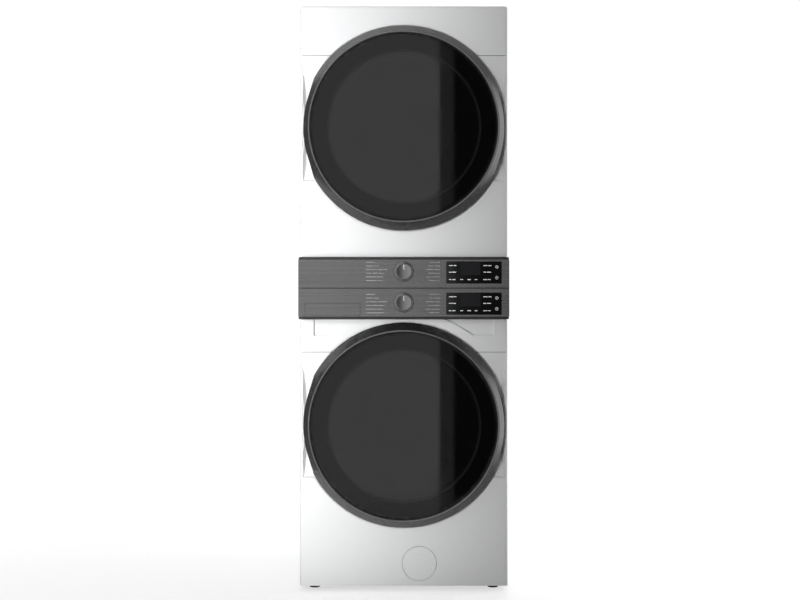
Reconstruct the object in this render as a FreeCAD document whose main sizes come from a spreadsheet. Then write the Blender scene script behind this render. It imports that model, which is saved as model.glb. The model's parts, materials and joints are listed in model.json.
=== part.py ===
"""A stacked laundry centre: a front-loading washer, a dryer above it, and the control console between.

Millimetres, +Z up, the origin on the floor under the middle of the stack.  The front faces -Y.
Every driving size is a cell of the sheet "Sizes"; everything else is an expression on those cells.
"""
import FreeCAD, Part
import Sketcher
import math
import os
from types import SimpleNamespace

DRIVING_SIZES = {
    # overall
    "cabinet_width": 686.0, "overall_height": 1927.0, "overall_depth": 800.0,
    "console_stand": 54.0, "knob_depth": 18.0, "rear_stand": 25.0,
    "sheet_steel": 1.5, "seam_gap": 0.5, "running_clearance": 0.05, "air_gap": 0.8,
    # base and feet
    "foot_height": 14.5, "foot_radius": 18.0, "foot_pad": 10.0, "stud_radius": 5.0, "stud_length": 40.0,
    "foot_inset": 46.0, "rear_foot_inset": 60.0, "base_wall": 3.0, "base_height": 46.0, "boss_radius": 12.0,
    # levels
    "deck_level": 995.0, "deck_flange": 20.0, "washer_axis_height": 545.0, "dryer_axis_height": 1523.0,
    # front panels
    "panel_depth": 26.0, "panel_edge_radius": 9.0, "top_corner_radius": 13.0,
    "dish_margin": 4.0, "dish_depth": 5.0, "panel_rim": 9.0,
    "scoop_depth": 16.0, "scoop_lip": 6.0, "scoop_reach": 175.0, "scoop_full": 112.0,
    "scoop_width": 56.0, "scoop_slope": 12.0, "ramp_width": 112.0, "seam_rise": 240.0, "seam_width": 1.2,
    "pocket_half_width": 297.5, "pocket_bottom": 840.0, "pocket_margin": 34.0, "pocket_depth": 12.0,
    # doors
    "door_radius": 338.0, "notch_cut": 8.0, "door_stand": 48.0, "door_gap": 2.5,
    "door_flange": 8.0, "door_taper": 25.0, "door_wall": 3.0, "bevel_width": 9.0,
    "glass_thickness": 4.0, "glass_sink": 2.5, "notch_angle": 20.0, "notch_blend": 9.0,
    "notch_overrun": 10.0, "notch_reach": 50.0, "liner_thickness": 4.0, "window_band": 52.0,
    "window_lip": 6.0, "window_seat": 22.0, "bowl_gap": 14.0, "bowl_taper": 36.0, "bowl_depth": 96.0,
    "bowl_glass": 6.0, "bowl_rim": 7.0, "bowl_corner": 24.0, "plug_gap": 10.0, "plug_depth": 34.0,
    "plug_slope": 8.0, "plug_rim": 2.0,
    # hinges
    "pivot_inset": 26.0, "pivot_stand": 16.0, "pin_radius": 4.0, "barrel_radius": 8.0, "barrel_half": 42.0,
    "knuckle_height": 15.0, "knuckle_gap": 1.0, "riser_offset": 24.0, "riser_thickness": 6.0,
    "hinge_plate": 20.0, "bracket_plate": 3.0, "knuckle_arm": 6.0, "strike_inset": 57.0,
    "strike_hook": 12.0, "strike_thickness": 6.0, "strike_half": 12.0, "strike_reach": 30.0,
    "strike_play": 6.0, "leaf_reach": 66.0, "leaf_thickness": 4.0, "hinge_window": 64.0,
    "hinge_room": 26.0, "hinge_room_depth": 22.0, "leaf_seat": 4.0,
    # washer inside
    "door_opening_radius": 215.0, "tub_radius": 298.0, "tub_wall": 6.0, "tub_flange": 12.0,
    "tub_front_gap": 66.0, "tub_split": 202.0, "tub_length": 554.0, "tub_mouth_radius": 222.0,
    "tub_mouth_lip": 13.0, "drum_clearance": 22.0, "drum_wall": 1.5, "drum_front_gap": 14.0,
    "drum_length": 510.0, "drum_mouth_radius": 202.0, "baffle_height": 52.0, "baffle_width": 76.0,
    "baffle_length": 380.0, "baffle_crest": 26.0,
    "spider_thickness": 18.0, "spider_arm": 46.0, "shaft_radius": 15.0, "shaft_length": 74.0,
    "bearing_radius": 60.0, "bearing_length": 24.0, "pulley_radius": 140.0, "pulley_width": 14.0,
    "pulley_gap": 6.0, "pulley_rim": 10.0, "belt_thickness": 3.0, "belt_width": 10.0,
    "motor_radius": 62.0, "motor_length": 130.0, "motor_across": 90.0, "motor_height": 152.0,
    "motor_pulley_radius": 14.0, "motor_shaft_radius": 7.0, "motor_end_share": 0.6, "motor_end_step": 10.0,
    "motor_shoulder": 16.0,
    "weight_gap": 18.0, "weight_depth": 34.0,
    "spring_across": 205.0, "spring_radius": 13.0, "spring_wire": 3.5, "lug_width": 30.0, "lug_rise": 40.0,
    "damper_across": 180.0, "damper_radius": 15.0, "damper_rod": 6.0, "damper_body": 120.0,
    "gasket_mouth": 200.0, "gasket_wall": 6.0, "gasket_flange": 232.0,
    "pump_across": 51.0, "pump_height": 88.0, "pump_radius": 36.0, "pump_length": 110.0, "pump_set_back": 60.0,
    "filter_radius": 27.0, "filter_length": 62.0, "filter_knob": 16.0,
    "pump_cover_radius": 56.0, "pump_cover_gap": 1.2, "pump_cover_plate": 3.0,
    "hose_radius": 12.0, "hose_across": 262.0, "valve_across": 200.0,
    "valve_pitch": 60.0, "valve_height": 880.0, "valve_thread_radius": 13.3, "valve_block": 44.0, "valve_bore": 9.0,
    "collar_step": 1.0, "collar_length": 23.0,
    # dispenser
    "drawer_left": 322.0, "drawer_right": 142.0, "drawer_bottom": 905.0, "drawer_top": 946.0,
    "drawer_gap": 1.5, "drawer_depth": 250.0, "drawer_wall": 2.5, "drawer_face": 8.0,
    "housing_wall": 3.0, "housing_play": 3.0, "drawer_divider": 62.0,
    # console
    "console_overhang": 1.0, "console_bottom": 893.0, "console_height": 204.0, "console_radius": 13.0,
    "console_wall": 3.0, "console_groove": 5.0, "groove_depth": 3.0, "groove_end": 14.0,
    "knob_radius": 31.0, "knob_stem": 8.0, "knob_rise": 54.0, "knob_drop": 47.0, "knob_cap": 25.0,
    "display_left": 138.0, "display_right": 319.0, "display_height": 72.0, "display_rise": 51.0,
    "display_drop": 50.5, "display_plate": 2.0, "display_proud": 0.6, "display_radius": 3.0,
    # dryer inside
    "dryer_opening_radius": 208.0, "dryer_drum_radius": 316.0, "dryer_drum_wall": 1.2,
    "dryer_drum_front": 72.0, "dryer_drum_length": 540.0, "bulkhead_wall": 3.0,
    "bulkhead_mouth": 206.0, "drum_seal_gap": 1.5, "dryer_shaft_radius": 12.0, "dryer_baffle_height": 60.0,
    "dryer_motor_across": 150.0, "dryer_motor_height": 1092.0, "dryer_motor_radius": 62.0,
    "dryer_motor_length": 130.0, "dryer_motor_set_back": 300.0, "dryer_pulley_radius": 12.0,
    "dryer_belt_place": 470.0, "blower_radius": 70.0, "blower_width": 46.0, "blower_hub": 14.0,
    "blower_play": 6.0, "blower_wall": 2.5, "duct_radius": 50.8, "duct_wall": 1.0, "duct_across": 0.0,
    "duct_height": 1092.0, "heater_across": -215.0, "heater_height": 1118.0, "heater_width": 110.0,
    "heater_length": 330.0, "heater_rise": 90.0, "heater_wall": 1.5,
    "lint_width": 190.0, "lint_height": 168.0, "lint_thickness": 10.0, "lint_place": 48.0,
    "lint_top_drop": 178.0, "lint_grip": 18.0, "lint_play": 1.5,
    # smaller details
    "foot_chamfer": 2.0, "bolt_gap": 1.0, "motor_stand_share": 0.8, "bracket_rise": 40.0,
    "shaft_inset": 12.0, "pump_body_share": 0.7, "pump_seat_share": 0.9, "pump_stand_inset": 10.0,
    "plug_flange": 6.0, "plug_overlap": 5.0,
    "plug_seal_gap": 0.5, "plug_shoulder": 14.0, "basket_wall": 6.0, "basket_end_gap": 4.0,
    "grip_half": 4.0, "grip_share": 0.85, "coin_slot_half": 11.0, "coin_slot_height": 9.0,
    "coin_slot_share": 0.55, "coin_slot_radius": 4.4, "hose_wall": 3.0, "hose_tap_share": 0.9,
    "hose_place": 44.0, "coil_radius": 15.4, "coil_height": 30.8, "spout_radius": 16.0,
    "spout_wall": 3.0, "spout_length": 40.0, "housing_lip": 1.0, "tray_drop": 4.0,
    "display_clearance": 0.1, "knob_chamfer": 2.0, "knob_taper": 1.5, "knob_skirt_top": 3.0,
    "knob_skirt": 2.5, "knob_gap": 1.0, "knob_stem_length": 14.0, "louvre_pitch_x": 24.0,
    "louvre_pitch_z": 26.0, "louvre_width": 16.0, "louvre_height": 8.0, "bulkhead_gap": 2.0,
    "throat_wall": 6.0, "throat_gap": 4.0, "chute_border": 12.0, "chute_sill": 20.0,
    "chute_window": 90.0, "lint_border": 8.0, "lint_web": 3.0, "rear_bulkhead_gap": 4.0,
    "shaft_hub_length": 20.0, "vent_radius": 36.0, "vent_rise": 150.0, "seal_band": 8.0,
    "stand_share": 0.7, "stand_seat": 4.0, "pulley_flange": 2.0, "blade_half": 1.0, "blower_disc": 3.0,
    "outlet_half": 30.0, "outlet_share": 0.8, "fan_mouth_share": 0.6,
    # openings in the back, and fasteners
    "access_width": 480.0, "access_height": 600.0, "access_lap": 20.0, "screw_radius": 4.5,
    "screw_head": 2.5, "screw_shank": 1.9, "screw_length": 8.0,
}


class Size:
    """A number together with the sheet expression that gives it."""

    def __init__(self, text, value):
        self.text = text
        self.value = float(value)

    def __add__(self, other):
        return combine(self, "+", other)

    def __radd__(self, other):
        return combine(other, "+", self)

    def __sub__(self, other):
        return combine(self, "-", other)

    def __rsub__(self, other):
        return combine(other, "-", self)

    def __mul__(self, other):
        return combine(self, "*", other)

    def __rmul__(self, other):
        return combine(other, "*", self)

    def __truediv__(self, other):
        return combine(self, "/", other)

    def __neg__(self):
        return Size(f"(0 - {self.text})", -self.value)


def as_size(item):
    return item if isinstance(item, Size) else Size(f"({item})", item)


def combine(left, sign, right):
    left, right = as_size(left), as_size(right)
    numbers = {"+": left.value + right.value, "-": left.value - right.value, "*": left.value * right.value,
               "/": left.value / right.value if right.value else 0.0}
    return Size(f"({left.text} {sign} {right.text})", numbers[sign])


def root(size):
    return Size(f"sqrt({size.text})", math.sqrt(size.value))


def cosine(angle):
    angle = as_size(angle)
    return Size(f"cos({angle.text})", math.cos(math.radians(angle.value)))


def sine(angle):
    angle = as_size(angle)
    return Size(f"sin({angle.text})", math.sin(math.radians(angle.value)))


doc = FreeCAD.newDocument("LaundryCentre")
sheet = doc.addObject("Spreadsheet::Sheet", "Sizes")
v = SimpleNamespace()
for row, (alias, number) in enumerate(DRIVING_SIZES.items(), start=1):
    sheet.set(f"A{row}", alias)
    sheet.set(f"B{row}", str(number))
    sheet.setAlias(f"B{row}", alias)
    setattr(v, alias, Size(f"Sizes.{alias}", number))
doc.recompute()

# ---------------------------------------------------------------- places that many pieces share
HALF = v.cabinet_width / 2
FRONT = v.console_stand + v.knob_depth - v.overall_depth / 2      # the flat face of the front panels
REAR = v.overall_depth / 2 - v.rear_stand                         # the outside of the cabinet's back
TOP = v.overall_height
WRAP_FRONT = FRONT + v.panel_depth + v.seam_gap
CONSOLE_FACE = FRONT - v.console_stand
CONSOLE_TOP = v.console_bottom + v.console_height
DISH_FLOOR = FRONT + v.dish_depth
DOOR_BACK = FRONT - v.door_gap
DOOR_FACE = FRONT - v.door_stand
NOTCH_RADIUS = v.door_radius - v.notch_cut
FACE_RADIUS = v.door_radius - v.door_taper
GLASS_RADIUS = FACE_RADIUS - v.bevel_width
WINDOW_RADIUS = GLASS_RADIUS - v.window_band
DISH_RADIUS = v.door_radius + v.dish_margin
PIVOT_X = v.pivot_inset - NOTCH_RADIUS
PIVOT_Y = FRONT - v.pivot_stand
TUB_FRONT = FRONT + v.tub_front_gap
DRUM_RADIUS = v.tub_radius - v.drum_clearance
DRUM_FRONT = TUB_FRONT + v.drum_front_gap
DRUM_BACK = DRUM_FRONT + v.drum_length
TUB_BACK = TUB_FRONT + v.tub_length
DRYER_DRUM_FRONT = FRONT + v.dryer_drum_front
DRYER_DRUM_BACK = DRYER_DRUM_FRONT + v.dryer_drum_length
BASE_FLOOR = v.foot_height + v.base_wall

parts = []


# ---------------------------------------------------------------- small tools
def bind(item, **sizes):
    for name, size in sizes.items():
        item.setExpression(name, as_size(size).text)
    return item


def put(item, x=0, y=0, z=0):
    for letter, place in zip("xyz", (x, y, z)):
        item.setExpression(f"Placement.Base.{letter}", as_size(place).text)
    return item


def name_part(item, label):
    item.Label = label
    parts.append(item)
    return item


def box(x0, x1, y0, y1, z0, z1):
    item = doc.addObject("Part::Box", "Block")
    bind(item, Length=as_size(x1) - x0, Width=as_size(y1) - y0, Height=as_size(z1) - z0)
    return put(item, x0, y0, z0)


TURN = {"x": FreeCAD.Rotation(FreeCAD.Vector(0, 1, 0), 90), "y": FreeCAD.Rotation(FreeCAD.Vector(1, 0, 0), -90),
        "z": FreeCAD.Rotation()}


def rod(along, x, y, z, radius, length):
    """A cylinder that starts at a point and runs along +X, +Y or +Z."""
    item = doc.addObject("Part::Cylinder", "Rod")
    item.Placement = FreeCAD.Placement(FreeCAD.Vector(), TURN[along])
    bind(item, Radius=radius, Height=length)
    return put(item, x, y, z)


def ball(x, y, z, radius):
    item = doc.addObject("Part::Sphere", "Ball")
    bind(item, Radius=radius)
    return put(item, x, y, z)


def fuse(*items):
    item = doc.addObject("Part::MultiFuse", "Fused")
    item.Shapes = list(items)
    return item


def cut(base, *tools):
    item = doc.addObject("Part::Cut", "Cut")
    item.Base = base
    item.Tool = tools[0] if len(tools) == 1 else fuse(*tools)
    return item


def common(*items):
    item = doc.addObject("Part::MultiCommon", "Common")
    item.Shapes = list(items)
    return item


def group(*items):
    item = doc.addObject("Part::Compound", "Group")
    item.Links = list(items)
    return item


def tube(along, x, y, z, outer, inner, length):
    return cut(rod(along, x, y, z, outer, length), rod(along, x, y, z, inner, length))


def attached_sketch(body, plane_role):
    plane = next(item for item in body.Origin.OriginFeatures if item.Role == plane_role)
    sketch = body.newObject("Sketcher::SketchObject", "Outline")
    sketch.AttachmentSupport = (plane, [""])
    sketch.MapMode = "FlatFace"
    return sketch


def draw(sketch, corners):
    """A closed outline.  A corner is (x, y), or (x, y, radius) where an arc leaves it.

    A positive radius turns to the left.  An arc is the shorter one, unless a fourth value says "long".
    """
    ends = [(as_size(corner[0]), as_size(corner[1])) for corner in corners]
    for index, corner in enumerate(corners):
        here, there = (FreeCAD.Vector(*[size.value for size in ends[spot % len(ends)]], 0)
                       for spot in (index, index + 1))
        if len(corner) == 2:
            sketch.addGeometry(Part.LineSegment(here, there), False)
            continue
        radius = as_size(corner[2]).value
        chord = there - here
        left = FreeCAD.Vector(-chord.y, chord.x, 0).normalize() * math.copysign(1.0, radius)
        reach = math.sqrt(max(radius * radius - chord.Length * chord.Length / 4, 0.0))
        centre = (here + there) * 0.5 + left * (reach if len(corner) == 3 else -reach)
        first, last = (here, there) if radius > 0 else (there, here)
        sketch.addGeometry(Part.Arc(first, centre - left * abs(radius), last), False)
    for index, corner in enumerate(corners):
        before = (index - 1) % len(corners)
        leaving, arriving = curve_end(sketch, index, ends[index]), curve_end(sketch, before, ends[index])
        sketch.addConstraint(Sketcher.Constraint("Coincident", before, arriving, index, leaving))
        for kind, size in zip(("DistanceX", "DistanceY"), ends[index]):
            number = sketch.addConstraint(Sketcher.Constraint(kind, index, leaving, size.value))
            sketch.setExpression(f"Constraints[{number}]", size.text)
        if len(corner) > 2:
            radius = as_size(corner[2])
            radius = radius if radius.value > 0 else -radius
            number = sketch.addConstraint(Sketcher.Constraint("Radius", index, radius.value))
            sketch.setExpression(f"Constraints[{number}]", radius.text)
    return sketch


def curve_end(sketch, index, corner):
    """Which end of a curve, its first or its second, lies at a corner."""
    curve = sketch.Geometry[index]
    corner = FreeCAD.Vector(corner[0].value, corner[1].value, 0)
    return 1 if (curve.StartPoint - corner).Length <= (curve.EndPoint - corner).Length else 2


def revolved(corners, x=0, y=0, z=0, about="y"):
    """A solid of revolution.  About y the corners are (radius, y); about z they are (radius, z)."""
    body = doc.addObject("PartDesign::Body", "Turned")
    sketch = draw(attached_sketch(body, "XY_Plane" if about == "y" else "XZ_Plane"), corners)
    feature = body.newObject("PartDesign::Revolution", "Revolution")
    feature.Profile = sketch
    axis = next(item for item in body.Origin.OriginFeatures if item.Role == f"{about.upper()}_Axis")
    feature.ReferenceAxis = (axis, [""])
    feature.Angle = 360
    return put(body, x, y, z)


def prism(plane, corners, start, end):
    """An outline on the XY, XZ or YZ plane, padded from start to end along the third axis."""
    body = doc.addObject("PartDesign::Body", "Padded")
    sketch = draw(attached_sketch(body, f"{plane}_Plane"), corners)
    feature = body.newObject("PartDesign::Pad", "Pad")
    feature.Profile = sketch
    feature.setExpression("Length", (as_size(end) - start).text)
    if plane == "XZ":
        feature.Reversed = True
    return put(body, **{{"XY": "z", "XZ": "y", "YZ": "x"}[plane]: start})


def rounded(x0, x1, y0, y1, radius):
    """A rectangle with four rounded corners."""
    x0, x1, y0, y1 = as_size(x0), as_size(x1), as_size(y0), as_size(y1)
    return [(x0 + radius, y0), (x1 - radius, y0, radius), (x1, y0 + radius), (x1, y1 - radius, radius),
            (x1 - radius, y1), (x0 + radius, y1, radius), (x0, y1 - radius), (x0, y0 + radius, radius)]


def rectangle(x0, x1, y0, y1):
    return [(x0, y0), (x1, y0), (x1, y1), (x0, y1)]


# ---------------------------------------------------------------- cabinet and front panels
def washer_cabinet():
    """The washer's wrap: two sides and a back in one folded sheet, with an opening in the back."""
    wall, lip = v.sheet_steel, v.deck_flange
    low, high = v.foot_height, v.deck_level - v.sheet_steel
    outer = rectangle(-HALF, HALF, WRAP_FRONT, REAR)
    wrap = cut(prism("XY", outer, low, high),
               prism("XY", rectangle(-HALF + wall, HALF - wall, WRAP_FRONT + wall, REAR - wall), low, high),
               box(-HALF + lip, HALF - lip, WRAP_FRONT - 1, WRAP_FRONT + lip, low, high))
    holes = [prism("XZ", rounded(-v.access_width / 2, v.access_width / 2,
                                 v.washer_axis_height - v.access_height / 2,
                                 v.washer_axis_height + v.access_height / 2, v.deck_flange),
                   REAR - 2 * wall, REAR + wall),
             rod("y", v.hose_across, REAR - 2 * wall, v.pump_height, v.hose_radius + v.air_gap, 4 * wall)]
    for step in (0, 1):
        holes.append(rod("y", valve_x(step), REAR - 2 * wall, v.valve_height,
                         v.valve_thread_radius + v.air_gap, 4 * wall))
    return name_part(cut(wrap, *holes, *screw_holes()), "washer_cabinet")


def valve_x(step):
    return -v.valve_across + step * v.valve_pitch


def panel_solid(grow, low, high, round_top):
    """The envelope of a front panel, drawn in by grow on every closed side."""
    left, right, face, back = -HALF + grow, HALF - grow, FRONT + grow, FRONT + v.panel_depth
    edge = v.panel_edge_radius - grow
    deep = back if grow.value == 0 else back + grow
    section = [(left + edge, face), (right - edge, face, edge), (right, face + edge), (right, deep),
               (left, deep), (left, face + edge, edge)]
    solid = prism("XY", section, low + grow, high - grow)
    if not round_top:
        return solid
    top, corner = high - grow, v.top_corner_radius - grow
    outline = [(left, low + grow), (right, low + grow), (right, top - corner, corner),
               (right - corner, top), (left + corner, top, corner), (left, top - corner)]
    profile = [(face, low + grow), (deep, low + grow), (deep, top), (face + edge, top, edge),
               (face, top - edge)]
    return common(solid, prism("XZ", outline, face, deep), prism("YZ", profile, left, right))


def panel_hollows(grow, axis, seam_side):
    """What is pressed into a front panel, swollen by grow: the dish round the door and a scoop each side."""
    reach = HALF - v.panel_rim + grow
    ahead = FRONT - 1 + 0 * grow
    dish = common(rod("y", 0, ahead, axis, DISH_RADIUS + grow, v.dish_depth + 1 + grow),
                  box(-reach, reach, ahead, DISH_FLOOR + grow, axis - 2 * HALF, axis + 2 * HALF))
    depth = FRONT + v.scoop_depth + grow
    lip = FRONT + v.scoop_lip + grow
    seam = axis + seam_side
    profile = [(ahead, axis - v.scoop_reach - grow), (FRONT + grow, axis - v.scoop_reach - grow),
               (lip, axis - v.scoop_reach + v.scoop_lip), (depth, axis - v.scoop_full),
               (depth, axis + v.scoop_full), (lip, axis + v.scoop_reach), (FRONT + grow, seam),
               (ahead, seam)]
    hollows = [dish]
    ramp = [(ahead, axis + v.scoop_reach), (lip, axis + v.scoop_reach), (FRONT + grow, seam), (ahead, seam)]
    for side in (-1, 1):
        inner, outer = side * (reach - v.ramp_width), side * reach
        hollows.append(prism("YZ", ramp, inner if side > 0 else outer, outer if side > 0 else inner))
        inner = side * (reach - v.scoop_width)
        width = [(inner, ahead), (inner, DISH_FLOOR + grow), (side * (reach - v.scoop_width / 2), depth),
                 (side * (reach - v.scoop_slope), depth), (outer, ahead)]
        hollows.append(common(prism("YZ", profile, inner if side > 0 else outer, outer if side > 0 else inner),
                              prism("XY", width if side > 0 else width[::-1], axis - HALF, axis + HALF)))
    return hollows


def seam_groove(height):
    """The fine crease that runs across a front panel."""
    return box(-HALF - 1, HALF + 1, FRONT - 1, FRONT + v.sheet_steel / 3,
               height - v.seam_width / 2, height + v.seam_width / 2)


def front_panel(label, low, high, axis, seam_side, opening, pockets, holes, round_top):
    none = 0 * v.sheet_steel
    shell = cut(panel_solid(none, low, high, round_top), *panel_hollows(none, axis, seam_side), *pockets(none))
    core = cut(panel_solid(v.sheet_steel, low, high, round_top),
               *panel_hollows(v.sheet_steel, axis, seam_side), *pockets(v.sheet_steel))
    near, half = v.door_radius - v.strike_inset, v.strike_half + v.strike_play
    latch = box(near - v.strike_play, near + v.strike_hook + v.strike_play, FRONT - 1, FRONT + v.panel_depth,
                axis - half, axis + half)
    through = [rod("y", 0, FRONT - 1, axis, opening, v.panel_depth), latch] + holes
    return name_part(cut(shell, core, seam_groove(axis + seam_side), *through), label)


def console_pocket(grow):
    """The hand space under the console, outside a circle that follows the door."""
    half = v.pocket_half_width + grow
    space = box(-half, half, FRONT - 1, FRONT + v.pocket_depth + grow, v.pocket_bottom - grow,
                v.deck_level + v.deck_flange)
    return [cut(space, rod("y", 0, FRONT - 2, v.washer_axis_height,
                           v.door_radius + v.pocket_margin - grow, v.panel_depth))]


def washer_front_panel():
    slot = box(-v.drawer_left - v.housing_play, -v.drawer_right + v.housing_play, FRONT - 1,
               FRONT + v.panel_depth + 1, v.drawer_bottom - v.housing_play, v.drawer_top + v.housing_play)
    hole = rod("y", v.pump_across, FRONT - 1, v.pump_height, v.pump_cover_radius + v.pump_cover_gap,
               v.panel_depth)
    return front_panel("washer_front_panel", v.foot_height, v.deck_level - v.sheet_steel,
                       v.washer_axis_height, v.seam_rise, v.door_opening_radius,
                       console_pocket, [slot, hole], False)


def dryer_front_panel():
    return front_panel("dryer_front_panel", v.deck_level + v.sheet_steel, TOP, v.dryer_axis_height,
                       v.seam_rise, v.dryer_opening_radius, lambda grow: [], [], True)


def washer_rear_cover():
    half, rise, wall = v.access_width / 2 + v.access_lap, v.access_height / 2 + v.access_lap, v.sheet_steel
    middle = v.washer_axis_height
    plate = prism("XZ", rounded(-half, half, middle - rise, middle + rise, v.deck_flange), REAR, REAR + wall)
    return name_part(cut(plate, *screw_holes()), "washer_rear_cover")


def washer_base():
    """A tray under the washer, with a threaded boss for each foot."""
    wall, half = v.sheet_steel, HALF - v.sheet_steel
    front, back, low = WRAP_FRONT + v.sheet_steel, REAR - v.sheet_steel, v.foot_height
    high = low + v.base_height
    tray = cut(box(-half, half, front, back, low, high),
               box(-half + v.base_wall, half - v.base_wall, front + v.base_wall, back - v.base_wall,
                   low + v.base_wall, high + 1))
    bosses = [rod("z", x, y, low, v.boss_radius, v.base_height / 2) for x, y in foot_places()]
    bores = [rod("z", x, y, low - 1, v.stud_radius + v.running_clearance, v.base_height)
             for x, y in foot_places()]
    return name_part(cut(fuse(tray, *bosses), *bores), "washer_base")


def foot_places():
    near, far = FRONT + v.rear_foot_inset, REAR - v.rear_foot_inset
    return [(side * (HALF - v.foot_inset), y) for y in (near, far) for side in (-1, 1)]


def foot(x, y):
    """A round pad, a lock nut and a threaded stud, in one turned piece."""
    pad, stud, high = v.foot_radius, v.stud_radius, v.foot_height
    return revolved([(0, 0), (pad - v.foot_chamfer, 0), (pad, v.foot_chamfer), (pad, v.foot_pad),
                     (v.boss_radius, v.foot_pad),
                     (v.boss_radius, high - v.air_gap), (stud, high - v.air_gap),
                     (stud, v.foot_pad + v.stud_length), (0, v.foot_pad + v.stud_length)],
                    x, y, 0, about="z")


def feet():
    places = foot_places()
    name_part(foot(*places[0]), "front_left_foot")
    name_part(foot(*places[1]), "front_right_foot")
    name_part(group(foot(*places[2]), foot(*places[3])), "rear_feet")


# ---------------------------------------------------------------- washer: tub, drum and drive
def tub_front():
    outer, wall, mouth, front = v.tub_radius, v.tub_wall, v.tub_mouth_radius, TUB_FRONT
    split = TUB_FRONT + v.tub_split
    shell = revolved([(mouth - wall, front - v.tub_mouth_lip), (mouth, front - v.tub_mouth_lip),
                      (mouth, front), (outer, front), (outer, split - wall), (outer + v.tub_flange, split - wall),
                      (outer + v.tub_flange, split), (outer - wall, split), (outer - wall, front + wall),
                      (mouth - wall, front + wall)], z=v.washer_axis_height)
    return name_part(shell, "tub_front")


def tub_rear():
    """The back half of the tub, with its bearing housing and the lugs that springs and dampers hold."""
    outer, wall, split, back = v.tub_radius, v.tub_wall, TUB_FRONT + v.tub_split, TUB_BACK
    bore = v.shaft_radius + v.running_clearance
    shell = revolved([(outer - wall, split), (outer + v.tub_flange, split), (outer + v.tub_flange, split + wall),
                      (outer, split + wall), (outer, back), (v.bearing_radius, back),
                      (v.bearing_radius, back + v.bearing_length), (bore, back + v.bearing_length),
                      (bore, back - wall), (outer - wall, back - wall)], z=v.washer_axis_height)
    lugs = []
    for side in (-1, 1):
        for across, up in ((v.spring_across, 1), (v.damper_across, -1)):
            height = v.washer_axis_height + up * root(outer * outer - across * across)
            edge = side * across
            lug = box(edge - v.lug_width / 2, edge + v.lug_width / 2, split + v.lug_rise,
                      split + v.lug_rise + v.lug_width,
                      height - v.lug_rise if up > 0 else height - v.lug_rise / 2,
                      height + v.lug_rise / 2 if up > 0 else height + v.lug_rise)
            lugs.append(lug)
    solid_lugs = cut(fuse(*lugs), rod("y", 0, split, v.washer_axis_height, outer - wall / 2, v.tub_length))
    return name_part(fuse(shell, solid_lugs), "tub_rear")


def suspension():
    middle = TUB_FRONT + v.tub_split + v.lug_rise + v.lug_width / 2
    springs, dampers = [], []
    for side in (-1, 1):
        top = v.washer_axis_height + root(v.tub_radius * v.tub_radius - v.spring_across * v.spring_across)
        low = top + v.lug_rise / 2
        springs.append(tube("z", side * v.spring_across, middle, low, v.spring_radius,
                            v.spring_radius - v.spring_wire, v.deck_level - v.sheet_steel - low))
        foot_end = v.washer_axis_height - root(v.tub_radius * v.tub_radius - v.damper_across * v.damper_across)
        reach = foot_end - v.lug_rise / 2 - BASE_FLOOR
        dampers.append(fuse(rod("z", side * v.damper_across, middle, BASE_FLOOR, v.damper_radius, v.damper_body),
                            rod("z", side * v.damper_across, middle, BASE_FLOOR, v.damper_rod, reach)))
    name_part(group(*springs), "suspension_springs")
    name_part(group(*dampers), "suspension_dampers")


def counterweight():
    inner, outer, back = v.tub_mouth_radius + v.weight_gap, v.tub_radius - v.tub_wall, TUB_FRONT
    ring = revolved([(inner, back - v.weight_depth), (outer, back - v.weight_depth), (outer, back),
                     (inner, back)], z=v.washer_axis_height)
    return name_part(ring, "counterweight")


def drum_shell(label, radius, wall, mouth, front, back, height, rear_hole):
    """A thin drum with a rolled edge at its mouth."""
    curl = wall * 3
    profile = [(mouth, front - curl), (mouth + wall, front - curl), (mouth + wall, front), (radius, front),
               (radius, back), (rear_hole, back), (rear_hole, back - wall), (radius - wall, back - wall),
               (radius - wall, front + wall), (mouth, front + wall)]
    return name_part(revolved(profile, z=height), label)


def baffles(label, radius, height, front, back, axis):
    """Three tapering paddles inside a drum, each a prism whose outer side follows the drum."""
    paddles = []
    base, crest = v.baffle_width / 2, v.baffle_crest / 2
    for number in range(3):
        outline = [(-base, -radius - 5), (base, -radius - 5), (crest, height - radius),
                   (-crest, height - radius)]
        paddle = prism("XZ", outline, front, back)
        turned = doc.addObject("Part::Compound", "Paddle")
        turned.Links = [common(paddle, rod("y", 0, front, 0, radius, back - front))]
        turned.Placement = FreeCAD.Placement(FreeCAD.Vector(), FreeCAD.Rotation(FreeCAD.Vector(0, 1, 0),
                                                                               120 * number))
        put(turned, 0, 0, axis)
        paddles.append(turned)
    return name_part(group(*paddles), label)


def drum_spider():
    """Three arms on the back of the drum, and the shaft that runs through the bearing."""
    back, arm = DRUM_BACK, v.spider_arm / 2
    arms = []
    for number in range(3):
        bar = box(-arm, arm, back, back + v.spider_thickness, 0, DRUM_RADIUS - v.tub_wall)
        turned = doc.addObject("Part::Compound", "Arm")
        turned.Links = [bar]
        turned.Placement = FreeCAD.Placement(FreeCAD.Vector(), FreeCAD.Rotation(FreeCAD.Vector(0, 1, 0),
                                                                               60 + 120 * number))
        put(turned, 0, 0, v.washer_axis_height)
        arms.append(turned)
    hub = rod("y", 0, back, v.washer_axis_height, v.bearing_radius, v.spider_thickness)
    shaft = rod("y", 0, back, v.washer_axis_height, v.shaft_radius, v.shaft_length)
    return name_part(fuse(hub, shaft, *arms), "drum_spider")


def pulley_face():
    return TUB_BACK + v.bearing_length + v.pulley_gap


def wheel(label, x, z, face, radius, width, rim, hub, bore):
    """A grooved rim, a thin web and a hub on a shaft."""
    web = width / 3
    profile = [(bore, face), (hub, face), (hub, face + web), (radius - rim, face + web), (radius - rim, face),
               (radius, face), (radius, face + width), (radius - rim, face + width),
               (radius - rim, face + 2 * web), (hub, face + 2 * web), (hub, face + width),
               (bore, face + width)]
    return name_part(revolved(profile, x, 0, z), label)


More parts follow.
